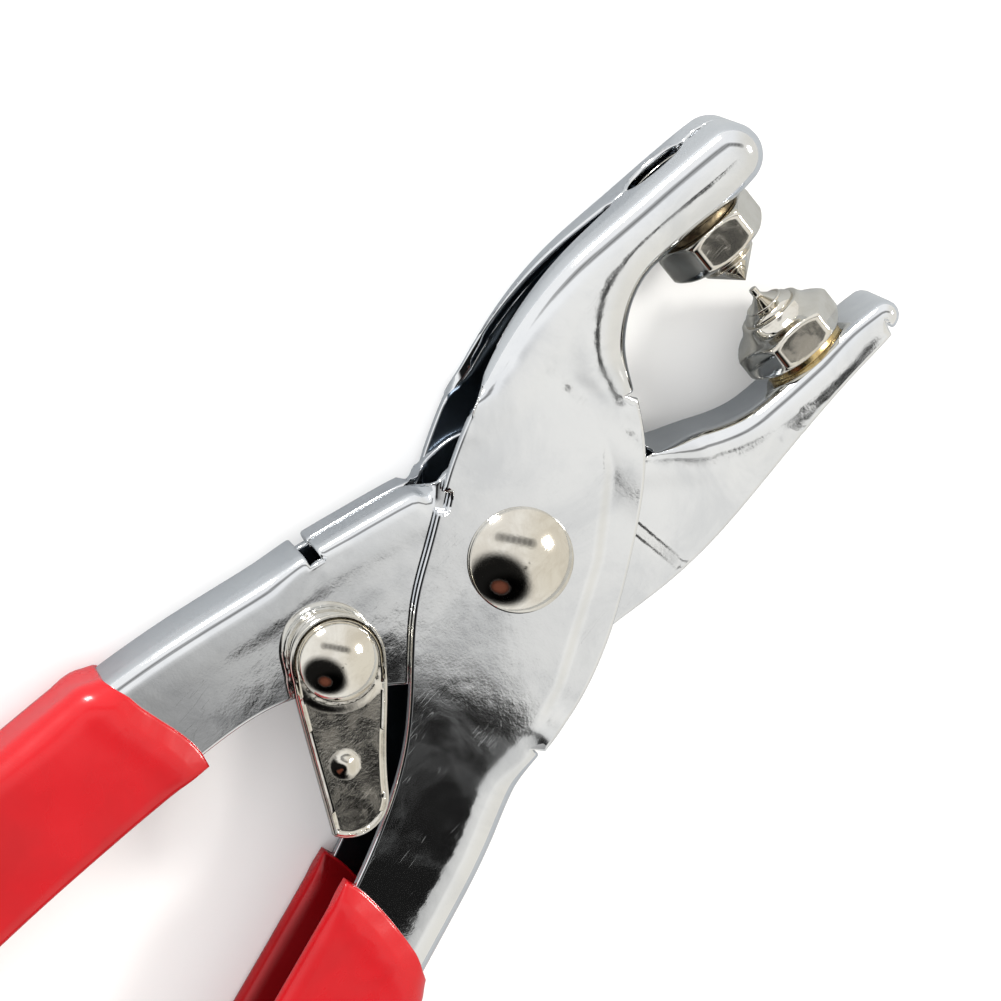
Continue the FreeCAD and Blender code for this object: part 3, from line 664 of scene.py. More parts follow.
def reshaped(node, loop):
    """A node's outline with its healed stretches and its own mouth line."""
    for first, last in HEALED.get(node, []):
        loop = np.concatenate([[last], without(loop, first, last), [first]])
    if node in MOUTHS:
        first, last, mouth = MOUTHS[node]
        loop = without(loop, first, last)
        while loop[0, 0] > mouth[-1][0] - MOUTH_CLEAR:
            loop = loop[1:]
        while loop[-1, 0] > mouth[0][0] - MOUTH_CLEAR:
            loop = loop[:-1]
        loop = np.concatenate([mouth, loop])
        loop = rounded_end(resampled(loop)[0])
    return loop


def sheet_skin(node, folds, spacing, form, margin=0.4):
    """The outer skin of a folded sheet, in mm, read from its CAD node's outline.

    form(points, cheek) moves points of the flat cheek along its normal; cheek is 1 for the
    upper and -1 for the lower one."""
    low, high = (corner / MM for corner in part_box(node))
    middle, half_width = (low.z + high.z) / 2, (high.z - low.z) / 2
    loops = flat_loops(node)
    outline, corners = resampled(reshaped(node, loops[0]))
    edge = outline.copy()
    skipped, fold_lines = set(), []
    points, faces = [], []
    for spec in folds:
        columns, passed = fold_columns(outline, corners, spec, half_width)
        skipped.update(passed)
        grid = []
        for number, inward, inset, drop in columns:
            edge[number] = outline[number] + inward * inset[0]
            plan = outline[number] + inset[:, None] * inward
            height = half_width - drop
            height = height - crown(inset - inset[0]) * height / half_width
            grid.append(np.column_stack([plan, height]))
        rows = len(grid[0])
        fold_lines.append(edge[[column[0] for column in columns]])
        for side in (1, -1):
            base = len(points)
            for column in grid:
                points += [(x, y, z * side) for x, y, z in column]
            for c in range(len(grid) - 1):
                for r in range(rows - 1):
                    a, b = base + c * rows + r, base + (c + 1) * rows + r
                    face = (a, a + 1, b + 1, b)
                    faces.append(face if side > 0 else face[::-1])
    kept = [n for n in range(len(outline)) if n not in skipped]
    holes = [resampled(hole[::-1], 0.5)[0][::-1] for hole in loops[1:]]
    flat, triangles = filled(edge[kept], holes, spacing, margin)
    away = np.minimum.reduce([distance_to(flat, line) for line in fold_lines])
    for side in (1, -1):
        base = len(points)
        height = half_width - crown(away) + form(flat, side) * eased(away / FORM_FADE)
        points += [(x, y, z * side) for (x, y), z in zip(flat, height)]
        faces += [tuple(base + n for n in (t if side > 0 else t[::-1])) for t in triangles.tolist()]
    skin = welded(points, faces)
    for vert in skin.verts:
        vert.co.z += middle
    print(node, "outline", len(outline), "points, skin", len(skin.faces), "faces")
    return skin

# %% [markdown]
# ## The outer half
# It carries the pivot's head, the upper jaw and one handle. Its jaw is a closed box: the throat
# and the mouth are one wall, and the two back flanges lean together along a tapering slot, meet
# in a seam and leave a long hole for a screwdriver behind the die. A raised pad round the pivot
# stiffens the cheek. All of these are one function of the place along the fold or on the cheek.

# %% Outer half
OUTER_BEND, INNER_BEND = 2.5, 1.9             # mm, outside radius of the folds
GAUGE = 1.2
EDGE_ROUND = 0.3
SLOT_START, SLOT_STOP = (7.0, 5.0), (33.4, 0.7)         # (x, half-width) of the back's slot
DRIVER_HOLE_AT, DRIVER_HOLE_SIZE = 39.3, (3.6, 2.3)
SEAM_HOLE = (43.4, 45.0, 0.65)
SEAM_GAP = 0.05
COARSE_UNTIL, MIDDLING_UNTIL = -45, -34       # x in mm: a handle's points lie wider this far up


def back_opening(x, y):
    """Half the width left open between the jaw's back flanges at a place along them."""
    if y < 10.2:
        return 0.0 if x > 40 or y < 8.4 else SEAM_GAP
    if x < SLOT_STOP[0]:
        share = (x - SLOT_START[0]) / (SLOT_STOP[0] - SLOT_START[0])
        return SLOT_START[1] + (SLOT_STOP[1] - SLOT_START[1]) * max(share, 0.0)
    if SEAM_HOLE[0] < x < SEAM_HOLE[1]:
        return SEAM_HOLE[2]
    off_middle = (x - DRIVER_HOLE_AT) / DRIVER_HOLE_SIZE[0]
    return max(SEAM_GAP, DRIVER_HOLE_SIZE[1] * math.sqrt(max(0.0, 1 - off_middle ** 2)))


PAD_LINE = np.array([(15.5, 2.0), (12.6, -1.3), (5.0, -6.4), (-7.6, -11.8), (-14.0, -12.9)])
CREASE = np.array([(17.0, 7.2), (17.9, 3.0), (17.6, -1.1)])


def ripple(points, wave, depth, turn=0.0):
    """The gentle unevenness that pressing leaves: two crossed waves."""
    x = points[:, 0] * math.cos(turn) + points[:, 1] * math.sin(turn)
    y = points[:, 1] * math.cos(turn) - points[:, 0] * math.sin(turn)
    return depth * (np.sin(x / wave * 2 * math.pi) + np.cos(y / wave * 1.7 * math.pi + 1.0)) / 2


def beyond(points, line):
    """Signed distance from a line of points: positive on the right of the way it runs."""
    far = distance_to(points, line)
    ends = line[1:] - line[:-1]
    best, side = np.full(len(points), np.inf), np.ones(len(points))
    for start, run in zip(line[:-1], ends):
        share = np.clip(((points - start) @ run) / (run @ run), 0, 1)
        gap = points - start - share[:, None] * run
        close = np.linalg.norm(gap, axis=1)
        cross = run[0] * (points - start)[:, 1] - run[1] * (points - start)[:, 0]
        nearer = close < best
        best[nearer], side[nearer] = close[nearer], -np.sign(cross[nearer])
    return far * side


def outer_form(points, side):
    """The outer half's cheek: a pad round the pivot, a low rim below it and a crease at the jaw."""
    x, y = points[:, 0], points[:, 1]
    rim_band = eased(-beyond(points, PAD_LINE) / 0.9 + 0.5) * eased((15.5 - x) / 6) * eased((x + 13) / 5)
    dent = np.exp(-((x - 17.9) ** 2 / 4 + (y - 8.6) ** 2 / 5))
    crease = np.exp(-(distance_to(points, CREASE) / 1.0) ** 2)
    low = 0.13 * rim_band + 0.02 * crease + 0.025 * dent
    return -low * (1.0 if side > 0 else 0.7) - 0.03 + ripple(points, 23, 0.03, 0.4) - 0.012


def fine_near(lines):
    """Spacing of a cheek's points: fine near relief lines, wide on the hidden handle."""
    def spacing(points):
        near = np.minimum.reduce([distance_to(points, line) for line in lines])
        wanted = np.where(near < 1.2, 0.35, 0.7)
        wanted = np.where(points[:, 0] < MIDDLING_UNTIL, 1.4, wanted)
        return np.where(points[:, 0] < COARSE_UNTIL, 2.8, wanted)
    return spacing


outer_folds = [
    fold((20.3, 1.4), (7.7, 13.5), OUTER_BEND, back_opening, forming=(0.0, 5.0)),
    fold((-106.0, -27.2), (-14.0, -15.3), OUTER_BEND),
]
outer_skin = sheet_skin("outer_half", outer_folds, fine_near([PAD_LINE, CREASE]), outer_form)
outer_half = finished("plated_outer_half",
                      *thickened(outer_skin, flat_gauge(GAUGE), flat_gauge(EDGE_ROUND)))

# %% [markdown]
# ## The inner half
# The other channel passes between the outer half's cheeks. Its arm has two narrow lips rolled
# over above the pivot, where the tool opens, and becomes a closed web past the relief notch. The
# lower jaw's mouth, nose and throat are one wall. The same sheet function makes it.

# %% Inner half
LIP_GAP = 0.8                 # mm, between the two lips
JAW_CREASE = np.array([(15.7, -4.5), (20.0, -9.0), (25.7, -13.6)])
ARM_CREASE = np.array([(-14.0, 15.2), (-24.0, 18.6), (-36.0, 22.4)])


def lip_opening(x, y):
    return LIP_GAP / 2


def inner_form(points, side):
    """The inner half's cheek: a soft crease across the jaw and another along the arm."""
    jaw = np.exp(-(distance_to(points, JAW_CREASE) / 0.9) ** 2)
    past = eased(beyond(points, JAW_CREASE) / 3.0 + 0.5) * (points[:, 0] > 10)
    arm = eased(beyond(points, ARM_CREASE) / 2.5 + 0.5) * (points[:, 0] < -10)
    return -0.05 * jaw - 0.06 * past - 0.08 * arm - 0.02 + ripple(points, 19, 0.015, -0.5)


def jaw_bend(x, y):
    """The bend of the jaw's mouth, smaller round the nose, whose own corner is tight."""
    return 1.35 + 0.65 * float(eased((41.0 - x) / 6.0)) * (y > -14.0)


inner_folds = [
    fold((42.3, -16.3), (17.0, -4.5), jaw_bend, end_radius=1.35),
    fold((1.1, 11.6), (-12.0, 16.9), 1.4, lip_opening, forming=(3.0, 0.0)),
    fold((-13.2, 17.4), (-106.0, 32.3), INNER_BEND),
]
inner_skin = sheet_skin("inner_half", inner_folds, fine_near([JAW_CREASE, ARM_CREASE]), inner_form)
inner_half = finished("plated_inner_half",
                      *thickened(inner_skin, flat_gauge(GAUGE), flat_gauge(EDGE_ROUND)))

# %% [markdown]
# ## Dipped grips
# Each handle is dipped hot into liquid plastic, which sets as one soft skin, thick on the outside
# and round over the lips of the channel, and thin where the dip ended. The skin is pressed like
# the sheet, with a much larger bend; its own sink function thins the mouth and adds the small
# wrinkles that the plastic keeps there.

# %% Grips
GRIP_BEND, GRIP_LIP_ROUND, GRIP_MOUTH_ROUND = 3.3, 1.35, 0.34
GRIP_THICK = 3.2              # outside coat, sheet and lining together
MOUTH_THIN = 0.62             # how much thinner the outside coat is where the dip ended
LINING_THIN = 0.45            # and how much thinner the whole is there
MOUTH_TAPER = 2.4             # mm over which it thins


def dipped(name, node, folds):
    """A grip: the skin that the plastic leaves on a handle."""
    mouth = smooth_run(np.array(MOUTHS[node][2]), STEP)      # the line where the dip ended
    middle = sum(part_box(node), Vector()).z / 2 / MM

    def from_mouth(points):
        return distance_to(points[:, :2], mouth)

    def sink(points):
        away = from_mouth(points)
        taper = MOUTH_THIN * (1 - eased(away / MOUTH_TAPER)) - 0.10 * np.exp(-((away - 3.2) / 1.1) ** 2)
        x, y, z = points.T
        wrinkle = np.sin(2.1 * y + 1.3 * z + 2.5 * np.sin(0.9 * x)) * np.exp(-away / 3.5)
        wander = np.sin(0.31 * x + 0.4 * y) * np.sin(0.23 * x - 0.8 * (z - middle) + 1.0)
        return taper + 0.035 * wrinkle + 0.05 * wander + 0.06

    def gauge(points):
        return GRIP_THICK - LINING_THIN * (1 - eased(from_mouth(points) / MOUTH_TAPER))

    def rim(points):
        share = eased(from_mouth(points) / 4.0)
        return GRIP_MOUTH_ROUND + (GRIP_LIP_ROUND - GRIP_MOUTH_ROUND) * share

    skin = sheet_skin(node, folds, lambda points: np.where(points[:, 0] < -62, 1.4, 0.7),
                      lambda points, side: np.zeros(len(points)), GRIP_LIP_ROUND + 0.35)
    return finished(name, *thickened(skin, gauge, rim, sink))


outer_grip = dipped("dipped_outer_grip", "outer_grip", [
    fold((-110.4, -17.0), (-39.3, -21.9), GRIP_BEND, forming=(5.0, 0.0), end_radius=GRIP_BEND)])
inner_grip = dipped("dipped_inner_grip", "inner_grip", [
    fold((-35.1, 25.9), (-110.4, 22.0), GRIP_BEND, forming=(0.0, 5.0), end_radius=GRIP_BEND)])

# %% [markdown]
# ## Turned pieces
# The rivets, washers and die points come off a lathe or a header, so each is one profile carried
# round an axis. A Screw modifier would do the same; the profile is turned in code here, because
# every corner first gets the small radius that a real tool leaves. The axes and the heights come
# from the frame.

# %% Turning
SEGMENTS = 96


def filleted(points, radius, steps=3, closed=False):
    """A line of (radius, height) points with its corners rounded."""
    result = []
    count = len(points)
    for n, here in enumerate(points):
        here = np.array(here, float)
        if not closed and n in (0, count - 1):
            result.append(here)
            continue
        before, after = np.array(points[n - 1], float), np.array(points[(n + 1) % count], float)
        cut = min(radius, 0.45 * np.linalg.norm(before - here), 0.45 * np.linalg.norm(after - here))
        start = here + (before - here) / np.linalg.norm(before - here) * cut
        stop = here + (after - here) / np.linalg.norm(after - here) * cut
        for step in range(steps + 1):
            t = step / steps
            result.append((1 - t) ** 2 * start + 2 * t * (1 - t) * here + t ** 2 * stop)
    return result


def axes(axis):
    """Two directions square to an axis; the first is as near to +Z as it can be."""
    axis = Vector(axis).normalized()
    hint = Vector((0, 0, 1)) if abs(axis.z) < 0.9 else Vector((1, 0, 0))
    first = (hint - axis * hint.dot(axis)).normalized()
    return axis, first, axis.cross(first)


def turned(profile, origin, axis, closed=False, segments=SEGMENTS):
    """Points and faces of a profile of (radius, height) carried round an axis."""
    axis, first, second = axes(axis)
    points, faces = [], []
    for radius, height in profile:
        for n in range(segments):
            angle = 2 * math.pi * n / segments
            points.append(Vector(origin) + axis * height
                          + (first * math.cos(angle) + second * math.sin(angle)) * radius)
    rows = len(profile)
    for r in range(rows if closed else rows - 1):
        for n in range(segments):
            a, b = r * segments + n, r * segments + (n + 1) % segments
            c, d = ((r + 1) % rows) * segments + n, ((r + 1) % rows) * segments + (n + 1) % segments
            faces.append((a, b, d, c))
    return [tuple(p) for p in points], faces


def together(*meshes):
    points, faces = [], []
    for more_points, more_faces in meshes:
        base = len(points)
        points += [tuple(p) for p in more_points]
        faces += [tuple(base + n for n in face) for face in more_faces]
    return points, faces


def spans(node, origin, axis):
    """Lowest and highest along an axis, and least and greatest distance from it, in mm."""
    points = np.array([v.co for v in nodes[node].data.vertices]) / MM - np.array(origin)
    direction = np.array(Vector(axis).normalized())
    along_it = points @ direction
    off = np.linalg.norm(points - along_it[:, None] * direction, axis=1)
    return along_it.min(), along_it.max(), off.min(), off.max()


def centre(node):
    low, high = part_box(node)
    return (low + high) / 2 / MM


def ring_mesh(node, origin, axis, radius=0.12):
    low, high, bore, outside = spans(node, origin, axis)
    corners = [(bore, low), (outside, low), (outside, high), (bore, high)]
    return turned(filleted(corners, radius, closed=True), origin, axis, closed=True)


def dome_profile(radius, seat, top, rim):
    """A head from its seat up: a short rim with a broken edge, then a ball's cap."""
    cap = top - seat - rim
    ball = (radius ** 2 + cap ** 2) / (2 * cap)
    widest = math.asin(radius / ball)
    cap_line = [(ball * math.sin(a), top - ball * (1 - math.cos(a)))
                for a in np.linspace(widest, 0, 28)]
    return [(radius - 0.18, seat), (radius, seat + 0.2), *cap_line]


def riveted(name, node, washer, origin, seat, rim):
    """A rivet: tail, shank and domed head as one closed turning."""
    low, high, _, radius = spans(node, origin, (0, 0, 1))
    tail_seat, _, shank, _ = spans(washer, origin, (0, 0, 1))
    tail_points = np.array([v.co for v in nodes[node].data.vertices]) / MM - np.array(origin)
    tail = np.linalg.norm(tail_points[tail_points[:, 2] < tail_seat - 0.1][:, :2], axis=1).max()
    profile = [(0, low), *filleted([(0.1, low), (tail, low), (tail, tail_seat), (shank, tail_seat),
                                    (shank, seat)], 0.25)[1:], *dome_profile(radius, seat, high, rim)]
    return finished(name, *turned(profile, origin, (0, 0, 1)))


PIVOT = Vector((0, 0, 0))
LATCH = Vector((*centre("latch_rivet").xy, 0))
PLATE_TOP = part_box("outer_half")[1].z / MM
LEVER_TOP = 15.4
pivot_rivet = riveted("domed_pivot_rivet", "pivot_rivet", "pivot_rear_washer", PIVOT, PLATE_TOP, 0.5)
latch_rivet = riveted("domed_latch_rivet", "latch_rivet", "latch_rear_washer", LATCH,
                      LEVER_TOP + 0.05, 0.35)

# %% [markdown]
# ## Dies
# Two small nuts hold the dies. A lathe turns back a nut's corners, so its height is cut by a
# cone, and the hexagon and the turning are both just a radius at an angle and a height. The
# nut is therefore one formula: the smaller of the two radii, with the change from one to the
# other softened, which gives every edge its small radius at once.

# %% Nuts
UPPER_AT, LOWER_AT = centre("upper_die_washer"), centre("lower_die_washer")
UPPER_WAY = (LOWER_AT - UPPER_AT).normalized()
LOWER_WAY = -UPPER_WAY
NUT_STEPS, NUT_ROWS = 240, 34
CORNER_SOFT, SIDE_SOFT, END_SOFT = 0.12, 0.22, 0.2      # mm: hexagon's edges, chamfers, end faces
END_BREAK = 0.25              # mm that the end faces are smaller than the chamfer they meet


def softer_least(first, second, soft):
    """The smaller of two numbers, with a rounded change from one to the other."""
    share = np.maximum(soft - np.abs(first - second), 0) / soft
    return np.minimum(first, second) - share * share * soft / 4


def nut_mesh(origin, axis, flats, bore, profile):
    """A hexagon cut by a turned profile of (height, radius) points."""
    axis, first, second = axes(axis)
    angle = np.linspace(0, 2 * math.pi, NUT_STEPS, endpoint=False)
    sides = flats / 2 / np.maximum(np.cos(angle[None] - np.arange(6)[:, None] * math.pi / 3), 0.05)
    sides = np.sort(sides, axis=0)
    hexagon = softer_least(sides[0], sides[1], CORNER_SOFT)
    low, high = profile[0][0], profile[-1][0]
    heights = np.linspace(low, high, NUT_ROWS)
    limit = np.interp(heights, [p[0] for p in profile], [p[1] for p in profile])
    rows = [(low, np.full(NUT_STEPS, bore)),
            (low, softer_least(hexagon, np.full(NUT_STEPS, limit[0] - END_BREAK), END_SOFT))]
    for height, most in zip(heights, limit):
        rows.append((height, softer_least(hexagon, np.full(NUT_STEPS, most), SIDE_SOFT)))
    rows.append((high, softer_least(hexagon, np.full(NUT_STEPS, limit[-1] - END_BREAK), END_SOFT)))
    rows.append((high, np.full(NUT_STEPS, bore)))
    points, faces = [], []
    for height, radii in rows:
        for a, radius in zip(angle, radii):
            points.append(tuple(Vector(origin) + axis * float(height)
                                + (first * math.cos(a) + second * math.sin(a)) * float(radius)))
    for r in range(len(rows)):
        following = (r + 1) % len(rows)
        for n in range(NUT_STEPS):
            after = (n + 1) % NUT_STEPS
            faces.append((r * NUT_STEPS + n, r * NUT_STEPS + after,
                          following * NUT_STEPS + after, following * NUT_STEPS + n))
    return points, faces


def nut_piece(name, node, origin, axis, bell=0.0):
    """A nut; bell is how far its front is drawn out into a neck that narrows, in mm."""
    low, high, bore, corner = spans(node, origin, axis)
    flats = 2 * corner * math.cos(math.pi / 6)
    top = high - bell
    profile = [(low, corner - 0.75), (low + 0.3, corner - 0.3), (low + 0.7, corner),
               (top - 0.7, corner), (top - 0.3, corner - 0.35), (top, corner - 0.85)]
    if bell:
        profile += [(top + 0.25 * bell, 4.35), (top + 0.5 * bell, 3.9), (top + 0.75 * bell, 3.6),
                    (high, 3.4)]
    return finished(name, *nut_mesh(origin, axis, flats, bore, profile))


upper_nut = nut_piece("turned_upper_nut", "upper_die_nut", UPPER_AT, UPPER_WAY)
lower_nut = nut_piece("turned_lower_nut", "lower_die_nut", LOWER_AT, LOWER_WAY, bell=1.6)

# %% [markdown]
# ## Ridges and spring
# Fine ridges stand round each die's point, and the return spring is a wire on a helix. Both
# repeat or follow a path, so Geometry Nodes make them: a ridge is one small ring put on each
# point of a line, and the spring is a round section carried along a spiral and two straight legs.

# %% Geometry Nodes helpers
def geometry_tree(name, inputs):
    """A Geometry Nodes tree with named inputs, and the identifiers of those inputs."""
    tree = bpy.data.node_groups.new(name, "GeometryNodeTree")
    sockets = {}
    for label, (kind, value) in inputs.items():
        socket = tree.interface.new_socket(label, in_out="INPUT", socket_type=kind)
        socket.default_value = value
        sockets[label] = socket.identifier
    tree.interface.new_socket("Geometry", in_out="OUTPUT", socket_type="NodeSocketGeometry")
    return tree, sockets


def end_tree(tree, geometry, material):
    """Finish a tree with Realize Instances and Set Material."""
    real = add(tree, "GeometryNodeRealizeInstances", {0: geometry}).outputs[0]
    painted = add(tree, "GeometryNodeSetMaterial", {0: real})
    painted.inputs["Material"].default_value = material
    output = add(tree, "NodeGroupOutput")
    tree.links.new(painted.outputs[0], output.inputs[0])


def grown_mesh(name, tree, sockets, values):
    """The tree's result as plain points and faces, in the tree's own units."""
    holder = bpy.data.objects.new(name, bpy.data.meshes.new(name))
    bpy.context.scene.collection.objects.link(holder)
    modifier = holder.modifiers.new(name, "NODES")
    modifier.node_group = tree
    for label, value in values.items():
        modifier[sockets[label]] = value
    bpy.context.view_layer.update()
    mesh = bpy.data.meshes.new_from_object(holder.evaluated_get(bpy.context.evaluated_depsgraph_get()))
    holder.modifiers.remove(modifier)
    points = [tuple(v.co) for v in mesh.vertices]
    faces = [tuple(p.vertices) for p in mesh.polygons]
    bpy.data.objects.remove(holder)
    bpy.data.meshes.remove(mesh)
    print(name, "grew", len(faces), "faces")
    return points, faces


machined_nickel = bpy.data.materials.new("machined_nickel")     # its nodes come with the finishes
spring_wire = bpy.data.materials.new("drawn_wire")

# %% Ridges
ridges, ridge_inputs = geometry_tree("ridge_stack", {
    "Count": ("NodeSocketInt", 3), "Pitch": ("NodeSocketFloat", 0.4),
    "Radius": ("NodeSocketFloat", 3.0), "Narrowing": ("NodeSocketFloat", 0.1),
    "Thickness": ("NodeSocketFloat", 0.2)})
given = add(ridges, "NodeGroupInput")
step_up = add(ridges, "ShaderNodeCombineXYZ", {2: given.outputs["Pitch"]})
rail = add(ridges, "GeometryNodeMeshLine", {"Count": given.outputs["Count"], "Offset": step_up.outputs[0]})
bead = add(ridges, "GeometryNodeCurvePrimitiveCircle", {"Resolution": 96, "Radius": given.outputs["Radius"]})
section = add(ridges, "GeometryNodeCurvePrimitiveCircle", {"Resolution": 10,
                                                            "Radius": given.outputs["Thickness"]})
ring_bead = add(ridges, "GeometryNodeCurveToMesh", {0: bead.outputs[0], 1: section.outputs[0]})
rank = add(ridges, "GeometryNodeInputIndex").outputs[0]
shrink = maths(ridges, "SUBTRACT", 1.0, maths(ridges, "MULTIPLY", rank, given.outputs["Narrowing"]))
placed = add(ridges, "GeometryNodeInstanceOnPoints", {
    "Points": rail.outputs[0], "Instance": ring_bead.outputs[0], "Scale": shrink})
end_tree(ridges, placed.outputs[0], machined_nickel)


def ridge_mesh(origin, axis, start, values):
    """A stack of ridges on a die's axis, its first one at a height."""
    points, faces = grown_mesh("ridges", ridges, ridge_inputs, values)
    axis, first, second = axes(axis)
    turned_points = [Vector(origin) + first * p[0] + second * p[1] + axis * (start + p[2]) for p in points]
    return turned_points, faces


def point_piece(name, node, origin, axis, nut, profile, ridge_start, ridge_values):
    """A die: its shank through the nut, its ridges and its point, as one piece."""
    low, high, _, _ = spans(node, origin, axis)
    _, front, shank, _ = spans(nut, origin, axis)
    line = [(0, low), *filleted([(0.1, low), (shank - 0.02, low), (shank - 0.02, front - 0.1)], 0.2)[1:]]
    line += [(radius, front + share * (high - front)) for radius, share in profile]
    body = turned(line, origin, axis)
    return finished(name, *together(body, ridge_mesh(origin, axis, front + ridge_start, ridge_values)))


upper_point = point_piece(
    "turned_upper_point", "upper_die_point", UPPER_AT, UPPER_WAY, "upper_die_nut",
    [(3.0, -0.02), (2.75, 0.04), (2.6, 0.18), (2.75, 0.27), (3.0, 0.29), (2.96, 0.32),
     (0.09, 0.985), (0.05, 0.996), (0, 1.0)],
    0.25, {"Count": 2, "Pitch": 0.48, "Radius": 2.78, "Narrowing": 0.0, "Thickness": 0.2})
lower_point = point_piece(
    "turned_lower_point", "lower_die_point", LOWER_AT, LOWER_WAY, "lower_die_nut",
    [(2.95, -0.02), (2.8, 0.10), (2.45, 0.22), (1.95, 0.31), (1.55, 0.40), (1.15, 0.50),
     (0.85, 0.58), (0.6, 0.66), (0.47, 0.72), (0.45, 0.76), (0.45, 0.96), (0.40, 0.985),
     (0.30, 1.0), (0, 1.0)],
    0.12, {"Count": 3, "Pitch": 0.42, "Radius": 2.62, "Narrowing": 0.13, "Thickness": 0.19})

# %% Return spring
WIRE, COIL_RADIUS, COIL_PITCH = 1.1, 4.6, 1.35
OUTER_FOOT, INNER_FOOT = Vector((-17.5, -13.3, 0)), Vector((-17.0, 16.5, 0))
spiral, spiral_inputs = geometry_tree("torsion_spring", {
    "Turns": ("NodeSocketFloat", 2.0), "Radius": ("NodeSocketFloat", COIL_RADIUS),
    "Rise": ("NodeSocketFloat", 3.0), "Start": ("NodeSocketFloat", 0.0),
    "Wire": ("NodeSocketFloat", WIRE / 2),
    "First root": ("NodeSocketVector", (0, 0, 0)), "First foot": ("NodeSocketVector", (0, 0, 0)),
    "Last root": ("NodeSocketVector", (0, 0, 0)), "Last foot": ("NodeSocketVector", (0, 0, 0))})
given = add(spiral, "NodeGroupInput")
helix = add(spiral, "GeometryNodeCurveSpiral", {
    "Resolution": 64, "Rotations": given.outputs["Turns"], "Start Radius": given.outputs["Radius"],
    "End Radius": given.outputs["Radius"], "Height": given.outputs["Rise"]})
spin = add(spiral, "ShaderNodeCombineXYZ", {2: given.outputs["Start"]})
coil = add(spiral, "GeometryNodeTransform", {"Geometry": helix.outputs[0], "Rotation": spin.outputs[0]})
parts = add(spiral, "GeometryNodeJoinGeometry")
for foot in ("Last", "First"):
    leg = add(spiral, "GeometryNodeCurvePrimitiveLine", {
        "Start": given.outputs[foot + " root"], "End": given.outputs[foot + " foot"]})
    spiral.links.new(leg.outputs[0], parts.inputs[0])
spiral.links.new(coil.outputs[0], parts.inputs[0])
wire_section = add(spiral, "GeometryNodeCurvePrimitiveCircle", {"Resolution": 16,
                                                                 "Radius": given.outputs["Wire"]})
wire_mesh = add(spiral, "GeometryNodeCurveToMesh", {0: parts.outputs[0], 1: wire_section.outputs[0]})
wire_mesh.inputs["Fill Caps"].default_value = True
end_tree(spiral, wire_mesh.outputs[0], spring_wire)


def leaving_angle(foot, side):
    """Where a straight leg to the foot leaves the coil."""
    return math.atan2(foot.y, foot.x) + side * math.acos(COIL_RADIUS / foot.length)


start_angle = leaving_angle(OUTER_FOOT, 1)
stop_angle = leaving_angle(INNER_FOOT, -1) + 4 * math.pi
coil_turns = (stop_angle - start_angle) / (2 * math.pi)
rise = coil_turns * COIL_PITCH


def coil_point(angle, height):
    return Vector((COIL_RADIUS * math.cos(angle), COIL_RADIUS * math.sin(angle), height))


spring_points, spring_faces = grown_mesh("return_spring_wire", spiral, spiral_inputs, {
    "Turns": coil_turns, "Radius": COIL_RADIUS, "Rise": rise, "Start": start_angle, "Wire": WIRE / 2,
    "First root": coil_point(start_angle, 0), "First foot": OUTER_FOOT,
    "Last root": coil_point(stop_angle, rise), "Last foot": INNER_FOOT + Vector((0, 0, rise))})
spring_base = centre("outer_half").z - rise / 2
spring = finished("wound_return_spring", [(x, y, z + spring_base) for x, y, z in spring_points],
                  spring_faces)

# %% [markdown]
# ## Latch lever and rings
# The lever is a small stamped plate that turns on its own rivet, with a pressed thumb dimple and
# a faint step round the rivet. The washers, the sleeve and the rear nuts are plain rings, so one
# function makes them all from what the frame says about each.

# %% Latch lever
LEVER_GAUGE, LEVER_ROUND = 1.3, 0.42
DIMPLE_AT, DIMPLE_RADIUS, DIMPLE_RISE = np.array((-26.9, 1.3)), 1.35, 0.5
CAD_FILLET = 0.35
BOSS_BORE, BOSS_RADIUS = 1.9, 4.3
BOSS_SUNK = 0.3               # mm that the boss reaches into the plate


def lever_form(points):
    """The plate's top: a dimple for the thumb and a step round the rivet."""
    off = np.linalg.norm(points - DIMPLE_AT, axis=1) / DIMPLE_RADIUS
    dimple = DIMPLE_RISE * eased(1 - off) ** 0.8
    away = np.linalg.norm(points - np.array(LATCH.xy), axis=1)
    step = 0.10 * eased((away - 4.5) / 0.35) - 0.08 * np.exp(-((away - 4.75) / 0.22) ** 2)
    return dimple - step - 0.02 + ripple(points, 11, 0.015)


def grown_outline(loop, distance):
    """A smooth closed outline moved outwards."""
    tangent = np.roll(loop, -1, 0) - np.roll(loop, 1, 0)
    outward = np.stack([tangent[:, 1], -tangent[:, 0]], 1) / np.linalg.norm(tangent, axis=1)[:, None]
    return loop + outward * distance


lever_edge = grown_outline(resampled(flat_loops("latch_lever", LEVER_TOP)[0], 0.4)[0], CAD_FILLET)
lever_flat, lever_faces = filled(lever_edge, [], lambda points: np.full(len(points), 0.35))
lever_skin = welded(np.column_stack([lever_flat, LEVER_TOP + lever_form(lever_flat)]),
                    lever_faces.tolist())
plate = thickened(lever_skin, flat_gauge(LEVER_GAUGE), flat_gauge(LEVER_ROUND))
boss_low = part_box("latch_lever")[0].z / MM
boss_high = LEVER_TOP - LEVER_GAUGE + BOSS_SUNK
boss_rim = [(BOSS_BORE, boss_low), (BOSS_RADIUS, boss_low), (BOSS_RADIUS, boss_high),
            (BOSS_BORE, boss_high)]
boss = turned(filleted(boss_rim, 0.15, closed=True), LATCH, (0, 0, 1), closed=True)
lever = finished("stamped_latch_lever", *together(plate[:2], boss))

